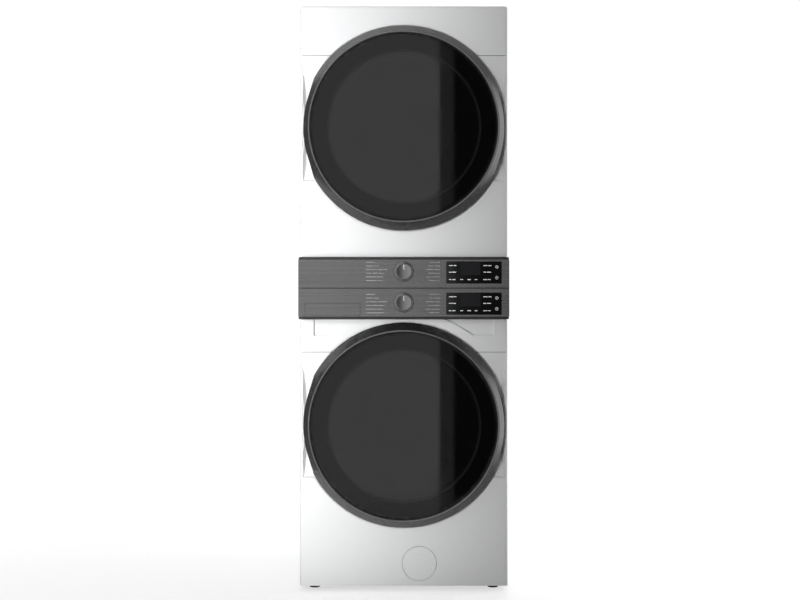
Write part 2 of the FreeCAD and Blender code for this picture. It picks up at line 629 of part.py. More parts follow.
def belt(label, x1, z1, r1, x2, z2, r2, middle):
    """A flat belt round two pulleys that are seen from the front, the larger one first."""
    across, down = x2 - x1, z1 - z2
    apart = root(across * across + down * down)
    bands = []
    for thick in (v.belt_thickness, 0 * v.belt_thickness):
        big, small = r1 + v.air_gap / 2 + thick, r2 + v.air_gap / 2 + thick
        lean = (big - small) / apart
        run = root(1 - lean * lean)
        # (ux, uz) points from the large pulley to the small one
        ux, uz = across / apart, -down / apart
        right = (ux * lean + uz * run, uz * lean - ux * run)
        left = (ux * lean - uz * run, uz * lean + ux * run)
        corners = [(x1 + big * right[0], z1 + big * right[1]),
                   (x2 + small * right[0], z2 + small * right[1], small),
                   (x2 + small * left[0], z2 + small * left[1]),
                   (x1 + big * left[0], z1 + big * left[1], big, "long")]
        bands.append(prism("XZ", corners, middle - v.belt_width / 2, middle + v.belt_width / 2))
    return name_part(cut(bands[0], bands[1]), label)


def motor(x, z, back, radius, length, shaft_bore):
    """A motor body: a drum between two stepped ends that carry the shaft's bearings."""
    front, end, step, slope = back - length, radius * v.motor_end_share, v.motor_end_step, v.motor_shoulder
    return revolved([(shaft_bore, front), (end, front), (end, front + step), (radius, front + slope),
                     (radius, back - slope), (end, back - step), (end, back), (shaft_bore, back)], x, 0, z)


def washer_drive():
    face = pulley_face()
    middle = face + v.pulley_width / 2
    x, z = v.motor_across, v.motor_height
    wheel("drum_pulley", as_size(0), v.washer_axis_height, face, v.pulley_radius, v.pulley_width, v.pulley_rim,
          2 * v.shaft_radius, v.shaft_radius)
    back = face - v.pulley_gap
    bore = v.motor_shaft_radius + v.running_clearance
    bracket = box(x - v.motor_radius / 2, x + v.motor_radius / 2, back - v.motor_length * 0.75,
                  back - v.motor_length * 0.25, z + v.motor_radius * v.motor_stand_share,
                   v.washer_axis_height - v.tub_radius + v.bracket_rise)
    held = cut(bracket, rod("y", 0, TUB_FRONT, v.washer_axis_height, v.tub_radius, v.tub_length + 1))
    name_part(fuse(motor(x, z, back, v.motor_radius, v.motor_length, bore), held), "washer_motor")
    shaft_start = back - v.motor_length + v.shaft_inset
    name_part(fuse(rod("y", x, face, z, v.motor_pulley_radius, v.pulley_width),
                   rod("y", x, shaft_start, z, v.motor_shaft_radius, face - shaft_start)),
              "washer_motor_pulley")
    belt("washer_belt", as_size(0), v.washer_axis_height, v.pulley_radius, x, z, v.motor_pulley_radius, middle)


def door_gasket():
    """The rubber bellows between the front panel and the tub."""
    start, mouth, wall = DISH_FLOOR + v.sheet_steel, v.gasket_mouth, v.gasket_wall
    grip, lip_end = v.tub_mouth_radius, TUB_FRONT - v.tub_mouth_lip
    profile = [(mouth, start), (v.gasket_flange, start), (v.gasket_flange, start + wall * 0.75),
               (mouth + wall, start + wall * 0.75), (mouth + wall, lip_end - 2 * wall),
               (grip + wall, lip_end - 2 * wall), (grip + wall, TUB_FRONT - v.bolt_gap),
               (grip, TUB_FRONT - v.bolt_gap),
               (grip, lip_end - wall), (mouth, lip_end - wall)]
    return name_part(revolved(profile, z=v.washer_axis_height), "door_gasket")


# ---------------------------------------------------------------- doors
def notch(side, axis):
    """The shallow cut that narrows a door's rim beside the cabinet's edge, with a slanted end."""
    inner, outer = NOTCH_RADIUS, v.door_radius + v.notch_overrun
    low, high = v.notch_angle, v.notch_angle + v.notch_blend
    corners = [(side * inner * cosine(low), -inner * sine(low), side * inner),
               (side * inner * cosine(low), inner * sine(low)),
               (side * v.door_radius * cosine(high), v.door_radius * sine(high)),
               (side * outer * cosine(high), outer * sine(high)),
               (side * (v.door_radius + v.notch_reach), 0),
               (side * outer * cosine(high), -outer * sine(high)),
               (side * v.door_radius * cosine(high), -v.door_radius * sine(high))]
    return put(prism("XZ", corners, DOOR_FACE, DOOR_BACK + 1), 0, DOOR_FACE, axis)


def door_ring(label, axis):
    """The deep moulded rim of a door: a flange, a tapering side and a bevel round the glass."""
    flange, wall = v.door_radius, v.door_wall
    seat = GLASS_RADIUS
    glass_back = DOOR_FACE + v.glass_sink + v.glass_thickness
    profile = [(flange - wall, DOOR_BACK), (flange, DOOR_BACK), (flange, DOOR_BACK - v.door_flange),
               (FACE_RADIUS, DOOR_FACE), (FACE_RADIUS - wall, DOOR_FACE - wall / 2),
               (seat + v.air_gap / 2, DOOR_FACE + v.glass_sink), (seat + v.air_gap / 2, glass_back),
               (seat - 2 * wall, glass_back), (seat - 2 * wall, glass_back + wall),
               (FACE_RADIUS - wall, glass_back + wall),
               (flange - wall, DOOR_BACK - v.door_flange)]
    ring = revolved(profile, z=axis)
    return name_part(cut(ring, notch(-1, axis), notch(1, axis)), label)


def door_glass(label, axis):
    """The outer pane, which stands a little proud at its middle."""
    face, thick, radius = DOOR_FACE + v.glass_sink, v.glass_thickness, GLASS_RADIUS
    crown = v.glass_sink * 0.8
    sphere = (radius * radius + crown * crown) / (2 * crown)
    profile = [(0, face - crown, sphere), (radius, face), (radius, face + thick), (0, face + thick)]
    return name_part(revolved(profile, z=axis), label)


def hinge_space(axis):
    """The room that the fixed knuckles need inside a door."""
    return box(PIVOT_X - v.hinge_room, PIVOT_X + v.riser_offset + v.riser_thickness + v.hinge_plate / 2,
               DOOR_BACK - v.hinge_room_depth, DOOR_BACK + 1, axis - v.hinge_window, axis + v.hinge_window)


def door_liner(label, axis, throat, throat_depth):
    """The inner frame: a plate behind the rim, a funnel from the window and a sleeve round the bowl."""
    wall, back = v.liner_thickness, DOOR_BACK - v.air_gap / 4
    outer = NOTCH_RADIUS - v.door_wall - v.air_gap
    behind_glass = DOOR_FACE + v.glass_sink + v.glass_thickness + v.door_wall + v.air_gap
    window = WINDOW_RADIUS
    profile = [(throat, back + throat_depth), (throat, back - wall * 2),
               (window - v.window_lip, behind_glass + wall),
               (window, behind_glass), (window + v.window_seat, behind_glass),
               (window + v.window_seat, behind_glass + wall),
               (window + wall, behind_glass + wall), (throat + wall * 3, back - wall), (outer, back - wall),
               (outer, back), (throat + wall, back), (throat + wall, back + throat_depth)]
    body = revolved(profile, z=axis)
    pad = box(PIVOT_X + v.leaf_reach - v.hinge_plate, PIVOT_X + v.leaf_reach, PIVOT_Y - v.leaf_seat,
              back - wall, axis - v.barrel_half, axis + v.barrel_half)
    near, half, end = v.door_radius - v.strike_inset, v.strike_half, back + v.strike_reach
    strike = fuse(box(near, near + v.strike_thickness, back - wall, end, axis - half, axis + half),
                  box(near, near + v.strike_hook, end - v.strike_thickness, end, axis - half, axis + half))
    return name_part(fuse(cut(body, hinge_space(axis)), pad, strike), label)


def washer_door_bowl():
    """The glass bowl that reaches into the drum's mouth."""
    mouth, thick, back = v.gasket_mouth - v.bowl_gap, v.bowl_glass, DOOR_BACK
    floor, rim = mouth - v.bowl_taper, mouth + v.bowl_rim
    start = back - 2 * v.liner_thickness
    deep = back + v.bowl_depth
    corner = v.bowl_corner
    profile = [(rim, start), (rim, start + thick), (mouth, start + thick), (floor, deep - corner, corner),
               (floor - corner, deep), (0, deep), (0, deep - thick),
               (floor - corner, deep - thick, -(corner - thick)),
               (floor - thick, deep - corner), (mouth - thick, start + thick), (mouth - thick, start)]
    return name_part(revolved(profile, z=v.washer_axis_height), "washer_door_bowl")


def dryer_door_window():
    """The dryer's inner pane, a shallow dish that closes the opening."""
    radius, thick, back = v.bulkhead_mouth - v.plug_gap - v.liner_thickness, v.bowl_glass, DOOR_BACK
    slope, rim = v.plug_slope, v.plug_rim
    deep = back + v.plug_depth
    profile = [(0, deep - thick), (radius - slope - thick, deep - thick), (radius - thick, back - rim),
               (radius, back - rim), (radius, back + rim), (radius - slope, deep), (0, deep)]
    return name_part(revolved(profile, z=v.dryer_axis_height), "dryer_door_window")


def hinge_bracket(axis):
    """A plate on the front panel whose two knuckles hold the door's pin."""
    x, y, inner = PIVOT_X, PIVOT_Y, v.barrel_half + v.knuckle_gap
    riser = x + v.riser_offset
    pieces = [box(riser, riser + v.hinge_plate, DISH_FLOOR - v.bracket_plate, DISH_FLOOR,
                  axis - inner - v.knuckle_height,
                  axis + inner + v.knuckle_height),
              rod("z", x, y, axis - inner - v.knuckle_height, v.pin_radius, 2 * (inner + v.knuckle_height))]
    for low in (axis - inner - v.knuckle_height, axis + inner):
        high = low + v.knuckle_height
        pieces += [rod("z", x, y, low, v.barrel_radius, v.knuckle_height),
                   box(x, riser + v.riser_thickness, y - v.knuckle_arm, y + v.knuckle_arm, low, high),
                   box(riser, riser + v.riser_thickness, y - v.knuckle_arm, DISH_FLOOR - 1, low, high)]
    return fuse(*pieces)


def hinge_leaf(label, axis):
    """The moving half of the hinge: a barrel on the pin and a strap inside the door."""
    x, y, half = PIVOT_X, PIVOT_Y, v.barrel_half
    barrel = rod("z", x, y, axis - half, v.barrel_radius, 2 * half)
    strap = box(x, x + v.leaf_reach, y - v.barrel_radius, y - v.barrel_radius + v.leaf_thickness,
                axis - half, axis + half)
    bore = rod("z", x, y, axis - half - 1, v.pin_radius + v.running_clearance, 2 * half + 2)
    return name_part(cut(fuse(barrel, strap), bore), label)


# ---------------------------------------------------------------- pump, water and dispenser
def drain_pump():
    x, z, front, radius = v.pump_across, v.pump_height, FRONT + v.pump_set_back, v.pump_radius
    hollow = v.filter_radius + v.running_clearance
    waist, middle = radius * v.pump_body_share, front + v.pump_length * v.pump_body_share
    profile = [(hollow, front), (radius, front), (radius, middle), (waist, middle),
               (waist, front + v.pump_length),
               (0, front + v.pump_length), (0, front + v.filter_length), (hollow, front + v.filter_length)]
    stand = box(x - waist, x + waist, front + v.pump_stand_inset, middle, BASE_FLOOR,
                z - radius * v.pump_seat_share)
    return name_part(fuse(revolved(profile, x, 0, z), stand), "drain_pump")


def pump_filter():
    x, z, front, radius = v.pump_across, v.pump_height, FRONT + v.pump_set_back, v.filter_radius
    face, seat, end = front - v.plug_flange, front - v.plug_seal_gap, front + v.filter_length - v.basket_end_gap
    rim, basket, reach = radius + v.plug_overlap, radius - v.basket_wall, radius * v.grip_share
    body = revolved([(0, face), (rim, face), (rim, seat), (radius, seat), (radius, front + v.plug_shoulder),
                     (basket, front + v.plug_shoulder), (basket, end), (0, end)], x, 0, z)
    grip = box(x - reach, x + reach, face - v.filter_knob, face, z - v.grip_half, z + v.grip_half)
    return name_part(fuse(body, grip), "pump_filter")


def pump_cover():
    """The round service cover, flush with the panel, with a slot for a coin."""
    x, z, radius, thick = v.pump_across, v.pump_height, v.pump_cover_radius, v.pump_cover_plate
    disc = rod("y", x, FRONT, z, radius, thick)
    low = z + radius * v.coin_slot_share
    slot = prism("XZ", rounded(x - v.coin_slot_half, x + v.coin_slot_half, low, low + v.coin_slot_height,
                               v.coin_slot_radius), FRONT - 1, FRONT + thick / 2)
    return name_part(cut(disc, slot), "pump_cover")


def drain_hose():
    """The hose from the pump to the outlet at the back, which ends in a spigot."""
    x, z, radius = v.hose_across, v.pump_height, v.hose_radius
    start, corner = v.pump_across + v.pump_radius * v.hose_tap_share, FRONT + v.pump_set_back + v.hose_place
    run = fuse(rod("x", start, corner, z, radius, x - start), ball(x, corner, z, radius),
               rod("y", x, corner, z, radius, REAR - corner),
               rod("y", x, REAR, z, radius + v.collar_step, v.collar_length))
    bore = rod("y", x, REAR - v.pump_set_back, z, radius - v.hose_wall, v.overall_depth)
    body = rod("y", v.pump_across, FRONT + v.pump_set_back, z, v.pump_radius, v.pump_length)
    return name_part(cut(run, bore, body), "drain_hose")


def inlet_valves():
    """Two water valves whose threaded ports stand out of the back."""
    valves = []
    for step in (0, 1):
        x, z, block = valve_x(step), v.valve_height, v.valve_block
        body = box(x - block / 2, x + block / 2, REAR - v.sheet_steel - block, REAR - v.sheet_steel,
                   z - block / 2, z + block / 2)
        port = cut(fuse(rod("y", x, REAR - 2 * v.sheet_steel, z, v.valve_thread_radius - v.collar_step,
                            2 * v.sheet_steel),
                        rod("y", x, REAR, z, v.valve_thread_radius, v.collar_length)),
                   rod("y", x, REAR, z, v.valve_bore, v.rear_stand))
        coil = rod("z", x, REAR - v.sheet_steel - block / 2, z + block / 2, v.coil_radius, v.coil_height)
        valves.append(fuse(body, port, coil))
    return name_part(group(*valves), "inlet_valves")


def dispenser_housing():
    """The open-fronted box that the detergent drawer slides in, with its outlet to the tub."""
    play, wall = v.housing_play, v.housing_wall
    room = play - v.housing_lip
    x0, x1 = -v.drawer_left - room, -v.drawer_right + room
    low, high = v.drawer_bottom - room, v.drawer_top + room
    front = FRONT + v.panel_depth + 4 * v.seam_gap
    back = CONSOLE_FACE + v.drawer_depth + 2 * play
    shell = cut(box(x0 - wall, x1 + wall, front, back + wall, low - wall, high + wall),
                box(x0, x1, front - 1, back, low, high))
    middle, place, bore = (x0 + x1) / 2, back - v.spout_length, v.spout_radius - v.spout_wall
    spout = tube("z", middle, place, low - wall - v.spout_length, v.spout_radius, bore, v.spout_length + 1)
    drain = rod("z", middle, place, low - wall - 1, bore, wall + 2)
    return name_part(cut(fuse(shell, spout), drain), "dispenser_housing")


def dispenser_drawer():
    """The tray with its compartments."""
    gap, wall = v.drawer_gap, v.drawer_wall
    x0, x1 = -v.drawer_left + gap, -v.drawer_right - gap
    low, high = v.drawer_bottom + gap, v.drawer_top - gap
    front, back = CONSOLE_FACE + v.drawer_face, CONSOLE_FACE + v.drawer_depth
    tray = box(x0, x1, front, back, low, high - v.tray_drop)
    split = x0 + v.drawer_divider
    second = split + v.drawer_divider
    wells = [box(x0 + wall, split - wall / 2, front + wall, back - wall, low + wall, high),
             box(split + wall / 2, second - wall / 2, front + wall, back - wall, low + wall, high),
             box(second + wall / 2, x1 - wall, front + wall, back - wall, low + wall, high)]
    return name_part(cut(tray, *wells), "dispenser_drawer")


def drawer_front():
    gap = v.drawer_gap / 2
    plate = box(-v.drawer_left + gap, -v.drawer_right - gap, CONSOLE_FACE, CONSOLE_FACE + v.drawer_face,
                v.drawer_bottom + gap, v.drawer_top - gap)
    return name_part(plate, "drawer_front")


# ---------------------------------------------------------------- console
def console():
    """The control console: a shallow moulded box with rounded corners and a groove along its middle."""
    half, wall, face = HALF + v.console_overhang, v.console_wall, CONSOLE_FACE
    low, high, radius = v.console_bottom, CONSOLE_TOP, v.console_radius
    back = FRONT
    outer = prism("XZ", rounded(-half, half, low, high, radius), face, back)
    inner = prism("XZ", rounded(-half + wall, half - wall, low + wall, high - wall, radius - wall),
                  face + wall + v.groove_depth, back + 1)
    groove = box(-half + v.groove_end, half - v.groove_end, face - 1, face + v.groove_depth,
                 v.deck_level - v.console_groove / 2, v.deck_level + v.console_groove / 2)
    cuts = [inner, groove, box(-v.drawer_left, -v.drawer_right, face - 1, back + 1, v.drawer_bottom,
                               v.drawer_top)]
    for height in knob_heights():
        cuts.append(rod("y", 0, face - 1, height, v.knob_stem + v.running_clearance, v.console_stand))
        cuts.append(display_block(height, face - 1, face + v.display_plate, v.display_clearance))
    return name_part(cut(outer, *cuts), "console")


def knob_heights():
    return (v.deck_level + v.knob_rise, v.deck_level - v.knob_drop)


def display_block(height, front, back, wider):
    """A display pane's place beside a knob: it sits level with the middle of its half of the console."""
    middle = v.deck_level + v.display_rise if height.value > v.deck_level.value else v.deck_level - v.display_drop
    rise = v.display_height / 2 + wider
    return prism("XZ", rounded(v.display_left - wider, v.display_right + wider, middle - rise, middle + rise,
                               v.display_radius), front, back)


def display_glasses():
    panes = [display_block(height, CONSOLE_FACE - v.display_proud, CONSOLE_FACE + v.display_plate, 0)
             for height in knob_heights()]
    return name_part(group(*panes), "display_glasses")


def knob(label, height):
    """A dial: a skirt, a tapering grip and a stem that turns in the console."""
    face, deep, radius = CONSOLE_FACE, v.knob_depth, v.knob_radius
    edge, gap, end = v.knob_chamfer, face - v.knob_gap, face + v.knob_stem_length
    profile = [(0, face - deep), (v.knob_cap, face - deep), (v.knob_cap + edge, face - deep + edge),
               (radius - v.knob_taper, face - v.knob_skirt_top), (radius, face - v.knob_skirt), (radius, gap),
               (v.knob_stem, gap), (v.knob_stem, end), (0, end)]
    return name_part(revolved(profile, z=height), label)


# ---------------------------------------------------------------- dryer
def dryer_cabinet():
    """The dryer's wrap: two sides and the top in one folded sheet."""
    wall, corner = v.sheet_steel, v.top_corner_radius
    low = v.deck_level + v.sheet_steel
    outline = [(-HALF, low), (-HALF + wall, low), (-HALF + wall, TOP - corner, -(corner - wall)),
               (-HALF + corner, TOP - wall), (HALF - corner, TOP - wall, -(corner - wall)),
               (HALF - wall, TOP - corner), (HALF - wall, low), (HALF, low), (HALF, TOP - corner, corner),
               (HALF - corner, TOP), (-HALF + corner, TOP, corner), (-HALF, TOP - corner)]
    return name_part(prism("XZ", outline, WRAP_FRONT, REAR), "dryer_cabinet")


def dryer_rear_panel():
    wall, gap = v.sheet_steel, v.sheet_steel + v.air_gap / 4
    outline = rounded(-HALF + gap, HALF - gap, v.deck_level + v.sheet_steel, TOP - gap,
                      v.top_corner_radius - v.sheet_steel)
    plate = prism("XZ", outline, REAR - wall, REAR)
    holes = [rod("y", v.duct_across, REAR - 2 * wall, v.duct_height, v.duct_radius + v.air_gap / 2, 4 * wall)]
    for column in range(6):
        for line in range(3):
            x = -HALF + v.foot_inset + column * v.louvre_pitch_x
            z = v.duct_height + line * v.louvre_pitch_z
            holes.append(box(x, x + v.louvre_width, REAR - 2 * wall, REAR + wall, z, z + v.louvre_height))
    return name_part(cut(plate, *holes), "dryer_rear_panel")


def stacking_deck():
    """The shared floor between the two machines."""
    wall, half = v.sheet_steel, HALF
    front, back = WRAP_FRONT, REAR
    return name_part(box(-half, half, front, back, v.deck_level - wall, v.deck_level + wall), "stacking_deck")


def front_bulkhead():
    """The moulded wall behind the dryer's door, with the lint housing below the opening."""
    wall, axis, mouth = v.bulkhead_wall, v.dryer_axis_height, v.bulkhead_mouth
    gap = v.bulkhead_gap
    front, back = FRONT + v.panel_depth + gap, DRYER_DRUM_FRONT - gap
    half, low, high = HALF - v.sheet_steel - gap, v.deck_level + v.sheet_steel, TOP - v.sheet_steel - gap
    plate = prism("XZ", rounded(-half, half, low, high, v.top_corner_radius), front, front + wall)
    reach = v.lint_top_drop + v.lint_height + v.lint_play + wall
    chute_front, chute_back = lint_front() - v.lint_play, lint_front() + v.lint_thickness + v.lint_play
    chute = box(-v.lint_width / 2 - v.lint_play - wall, v.lint_width / 2 + v.lint_play + wall, front,
                chute_back + wall, axis - reach, axis - v.lint_top_drop)
    start = DISH_FLOOR + v.throat_gap
    throat = cut(rod("y", 0, start, axis, mouth + v.throat_wall, back - start),
                 rod("y", 0, DISH_FLOOR, axis, mouth, v.panel_depth + v.dryer_drum_front))
    slot = box(-v.lint_width / 2 - v.lint_play, v.lint_width / 2 + v.lint_play, chute_front, chute_back,
               axis - reach + wall, axis)
    inset, sill = v.lint_width / 2 - v.chute_border, axis - reach + wall + v.chute_sill
    window = box(-inset, inset, front - 1, chute_back + wall + 1, sill, sill + v.chute_window)
    plate_hole = rod("y", 0, front - 1, axis, mouth, v.panel_depth)
    return name_part(cut(fuse(cut(fuse(plate, chute), plate_hole), throat), slot, window), "front_bulkhead")


def lint_front():
    return FRONT + v.lint_place


def lint_screen():
    """The lint filter: a frame with a mesh panel and a grip along its top."""
    half, thick, front = v.lint_width / 2, v.lint_thickness, lint_front()
    top = v.dryer_axis_height - v.lint_top_drop
    low = top - v.lint_height
    frame = box(-half, half, front, front + thick, low, top)
    border = v.lint_border
    pocket = box(-half + border, half - border, front + v.lint_web, front + thick + 1, low + border,
                 top - v.lint_grip)
    return name_part(cut(frame, pocket), "lint_screen")


def rear_bulkhead():
    """The steel wall behind the dryer's drum, with a bearing for the drum's shaft."""
    wall, axis = v.bulkhead_wall, v.dryer_axis_height
    gap = v.bulkhead_gap
    half, low, high = HALF - v.sheet_steel - gap, v.deck_level + v.sheet_steel, TOP - v.sheet_steel - gap
    front = DRYER_DRUM_BACK + v.rear_bulkhead_gap
    plate = prism("XZ", rounded(-half, half, low, high, v.top_corner_radius), front, front + wall)
    hub = rod("y", 0, front, axis, 3 * v.dryer_shaft_radius, v.shaft_hub_length)
    bore = rod("y", 0, front - 1, axis, v.dryer_shaft_radius + v.running_clearance, v.console_stand)
    vent = rod("y", v.heater_across, front - 1, v.heater_height + v.vent_rise, v.vent_radius, wall + 2)
    duct = rod("y", v.duct_across, front - 1, v.duct_height, v.duct_radius + v.air_gap / 2, wall + 2)
    return name_part(cut(fuse(plate, hub), bore, vent, duct), "rear_bulkhead")


def dryer_drum():
    axis, radius, wall = v.dryer_axis_height, v.dryer_drum_radius, v.dryer_drum_wall
    front, back, mouth = DRYER_DRUM_FRONT, DRYER_DRUM_BACK, v.bulkhead_mouth
    shaft, inner = v.dryer_shaft_radius, mouth + v.throat_wall + v.drum_seal_gap + v.seal_band
    profile = [(inner, front), (radius, front), (radius, back - wall), (shaft, back - wall),
               (shaft, back + 2 * shaft), (0, back + 2 * shaft), (0, back - 2 * wall),
               (radius - wall, back - 2 * wall), (radius - wall, front + wall), (inner, front + wall)]
    return name_part(revolved(profile, z=axis), "dryer_drum")


def dryer_drive():
    x, z, back = v.dryer_motor_across, v.dryer_motor_height, FRONT + v.dryer_motor_set_back
    bore = v.motor_shaft_radius + v.running_clearance
    body = motor(x, z, back, v.dryer_motor_radius, v.dryer_motor_length, bore)
    half, inset = v.dryer_motor_radius * v.stand_share, v.dryer_motor_length / 5
    stand = cut(box(x - half, x + half, back - v.dryer_motor_length + inset, back - inset,
                    v.deck_level + v.sheet_steel, z),
                rod("y", x, back - v.dryer_motor_length, z, v.dryer_motor_radius - v.stand_seat,
                    v.dryer_motor_length))
    name_part(fuse(body, stand), "dryer_motor")
    place = FRONT + v.dryer_belt_place
    front_end = back - v.dryer_motor_length - v.blower_width - 2 * v.blower_play
    name_part(fuse(rod("y", x, front_end, z, v.motor_shaft_radius,
                       place + v.belt_width / 2 + 2 * v.pulley_flange - front_end),
                   rod("y", x, place - v.belt_width / 2 - v.pulley_flange, z, v.dryer_pulley_radius,
                       v.belt_width + 2 * v.pulley_flange)),
              "dryer_motor_shaft")
    belt("dryer_belt", as_size(0), v.dryer_axis_height, v.dryer_drum_radius, x, z, v.dryer_pulley_radius, place)


def blower_front():
    return FRONT + v.dryer_motor_set_back - v.dryer_motor_length - v.blower_width - v.blower_play * 1.5


def blower_wheel():
    """A fan with curved air passages between its blades."""
    x, z, front, radius = v.dryer_motor_across, v.dryer_motor_height, blower_front(), v.blower_radius
    disc = rod("y", 0, front + v.blower_width - v.blower_disc, 0, radius, v.blower_disc)
    hub = rod("y", 0, front, 0, v.blower_hub, v.blower_width)
    blades = []
    for number in range(12):
        blade = box(v.blower_hub - 1, radius - 1, front, front + v.blower_width, -v.blade_half, v.blade_half)
        turned = doc.addObject("Part::Compound", "Blade")
        turned.Links = [blade]
        turned.Placement = FreeCAD.Placement(FreeCAD.Vector(), FreeCAD.Rotation(FreeCAD.Vector(0, 1, 0),
                                                                               30 * number))
        blades.append(turned)
    solid = cut(fuse(disc, hub, *blades), rod("y", 0, front - 1, 0, v.motor_shaft_radius, v.blower_width + 2))
    holder = doc.addObject("Part::Compound", "Wheel")
    holder.Links = [solid]
    return name_part(put(holder, x, 0, z), "blower_wheel")


def blower_housing():
    """The round fan case, open to the lint chute in front."""
    x, z, play, wall = v.dryer_motor_across, v.dryer_motor_height, v.blower_play, v.blower_wall
    front, back = blower_front() - play / 2, blower_front() + v.blower_width + play / 2
    radius = v.blower_radius + play
    case = cut(rod("y", x, front - wall, z, radius + wall, back - front + 2 * wall),
               rod("y", x, front, z, radius, back - front))
    edge, half = v.duct_across - v.duct_radius * v.outlet_share, v.outlet_half
    outlet = box(edge, x, front, back, z - half, z + half)
    hollow = box(edge - 1, x, front + wall, back - wall, z - half + wall, z + half - wall)
    joined = cut(fuse(case, outlet), hollow, rod("y", x, front, z, radius, back - front))
    mouth = rod("y", x, front - 2 * wall, z, v.blower_radius * v.fan_mouth_share, 3 * wall)
    shaft = rod("y", x, back - 1, z, v.motor_shaft_radius + 1, 3 * wall)
    return name_part(cut(joined, mouth, shaft), "blower_housing")


def exhaust_duct():
    """The pipe from the fan case to the outlet at the back."""
    start = blower_front() + v.blower_width + v.blower_play / 2 + v.blower_wall + 1
    pipe = fuse(rod("y", v.duct_across, start, v.duct_height, v.duct_radius - v.collar_step, REAR - start),
                rod("y", v.duct_across, REAR, v.duct_height, v.duct_radius, v.rear_stand))
    air = rod("y", v.duct_across, start - 1, v.duct_height, v.duct_radius - v.collar_step - v.duct_wall,
              v.overall_depth)
    return name_part(cut(pipe, air), "exhaust_duct")


def heater_housing():
    x, width, wall = v.heater_across, v.heater_width, v.heater_wall
    back, low = DRYER_DRUM_BACK, v.heater_height - v.heater_rise
    return name_part(cut(box(x - width / 2, x + width / 2, back - v.heater_length, back, low,
                             low + v.heater_rise),
                         box(x - width / 2 + wall, x + width / 2 - wall, back - v.heater_length - 1,
                             back + 1, low + wall, low + v.heater_rise - wall)), "heater_housing")


def screw_places():
    half, rise = v.access_width / 2 + v.access_lap / 2, v.access_height / 2 + v.access_lap / 2
    return [(x, v.washer_axis_height - rise + step * rise) for x in (-half, half) for step in range(3)]


def screw_holes():
    return [rod("y", x, REAR - 2 * v.sheet_steel, z, v.screw_shank, 4 * v.sheet_steel)
            for x, z in screw_places()]


def panel_screws():
    """The screws that hold the washer's rear cover."""
    screws = []
    for x, z in screw_places():
        screws.append(fuse(rod("y", x, REAR + v.sheet_steel, z, v.screw_radius, v.screw_head),
                           rod("y", x, REAR + v.sheet_steel - v.screw_length, z, v.screw_shank,
                               v.screw_length + v.screw_head / 2)))
    return name_part(group(*screws), "panel_screws")


# ---------------------------------------------------------------- the whole stack
washer_cabinet()
washer_base()
feet()
washer_front_panel()
washer_rear_cover()
tub_front()
tub_rear()
counterweight()
suspension()
drum_shell("washer_drum", DRUM_RADIUS, v.drum_wall, v.drum_mouth_radius, DRUM_FRONT, DRUM_BACK,
           v.washer_axis_height, as_size(0))
baffles("washer_baffles", DRUM_RADIUS - v.drum_wall, v.baffle_height, DRUM_FRONT + v.baffle_width,
        DRUM_FRONT + v.baffle_width + v.baffle_length, v.washer_axis_height)
drum_spider()
washer_drive()
door_gasket()
drain_pump()
pump_filter()
pump_cover()
drain_hose()
inlet_valves()
dispenser_housing()
dispenser_drawer()
drawer_front()
console()
display_glasses()
knob("dryer_knob", knob_heights()[0])
knob("washer_knob", knob_heights()[1])
dryer_cabinet()
dryer_front_panel()
dryer_rear_panel()
stacking_deck()
front_bulkhead()
rear_bulkhead()
dryer_drum()
baffles("dryer_baffles", v.dryer_drum_radius - v.dryer_drum_wall, v.dryer_baffle_height,
        DRYER_DRUM_FRONT + v.baffle_width, DRYER_DRUM_FRONT + v.baffle_width + v.baffle_length,
        v.dryer_axis_height)
dryer_drive()
blower_wheel()
blower_housing()
exhaust_duct()
heater_housing()
lint_screen()
for machine, machine_axis, throat, throat_depth in (
        ("washer", v.washer_axis_height, v.gasket_mouth - v.bowl_gap + v.bowl_rim, v.liner_thickness),
        ("dryer", v.dryer_axis_height, v.bulkhead_mouth - v.plug_gap - v.liner_thickness,
         v.plug_depth - v.liner_thickness)):
    door_ring(f"{machine}_door_ring", machine_axis)
    door_glass(f"{machine}_door_glass", machine_axis)
    door_liner(f"{machine}_door_liner", machine_axis, throat, throat_depth)
    hinge_leaf(f"{machine}_hinge_leaf", machine_axis)
washer_door_bowl()
dryer_door_window()
name_part(group(hinge_bracket(v.washer_axis_height), hinge_bracket(v.dryer_axis_height)), "hinge_brackets")
panel_screws()

doc.recompute()
faults = [f"{item.Name} {item.State}" for item in doc.Objects if {"Invalid", "Error"} & set(item.State)]
faults += [item.Label for item in parts if item.Shape.isNull() or not item.Shape.isValid()]
if faults:
    raise SystemExit(f"these objects failed: {faults}")

os.makedirs("parts", exist_ok=True)
for item in parts:
    item.Shape.exportStep(f"parts/{item.Label}.step")
print(len(parts), "parts written")
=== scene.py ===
"""Looks of a stacked washer and dryer: finishes, panes, trims, markings, a plain studio and a camera."""
import json
import math

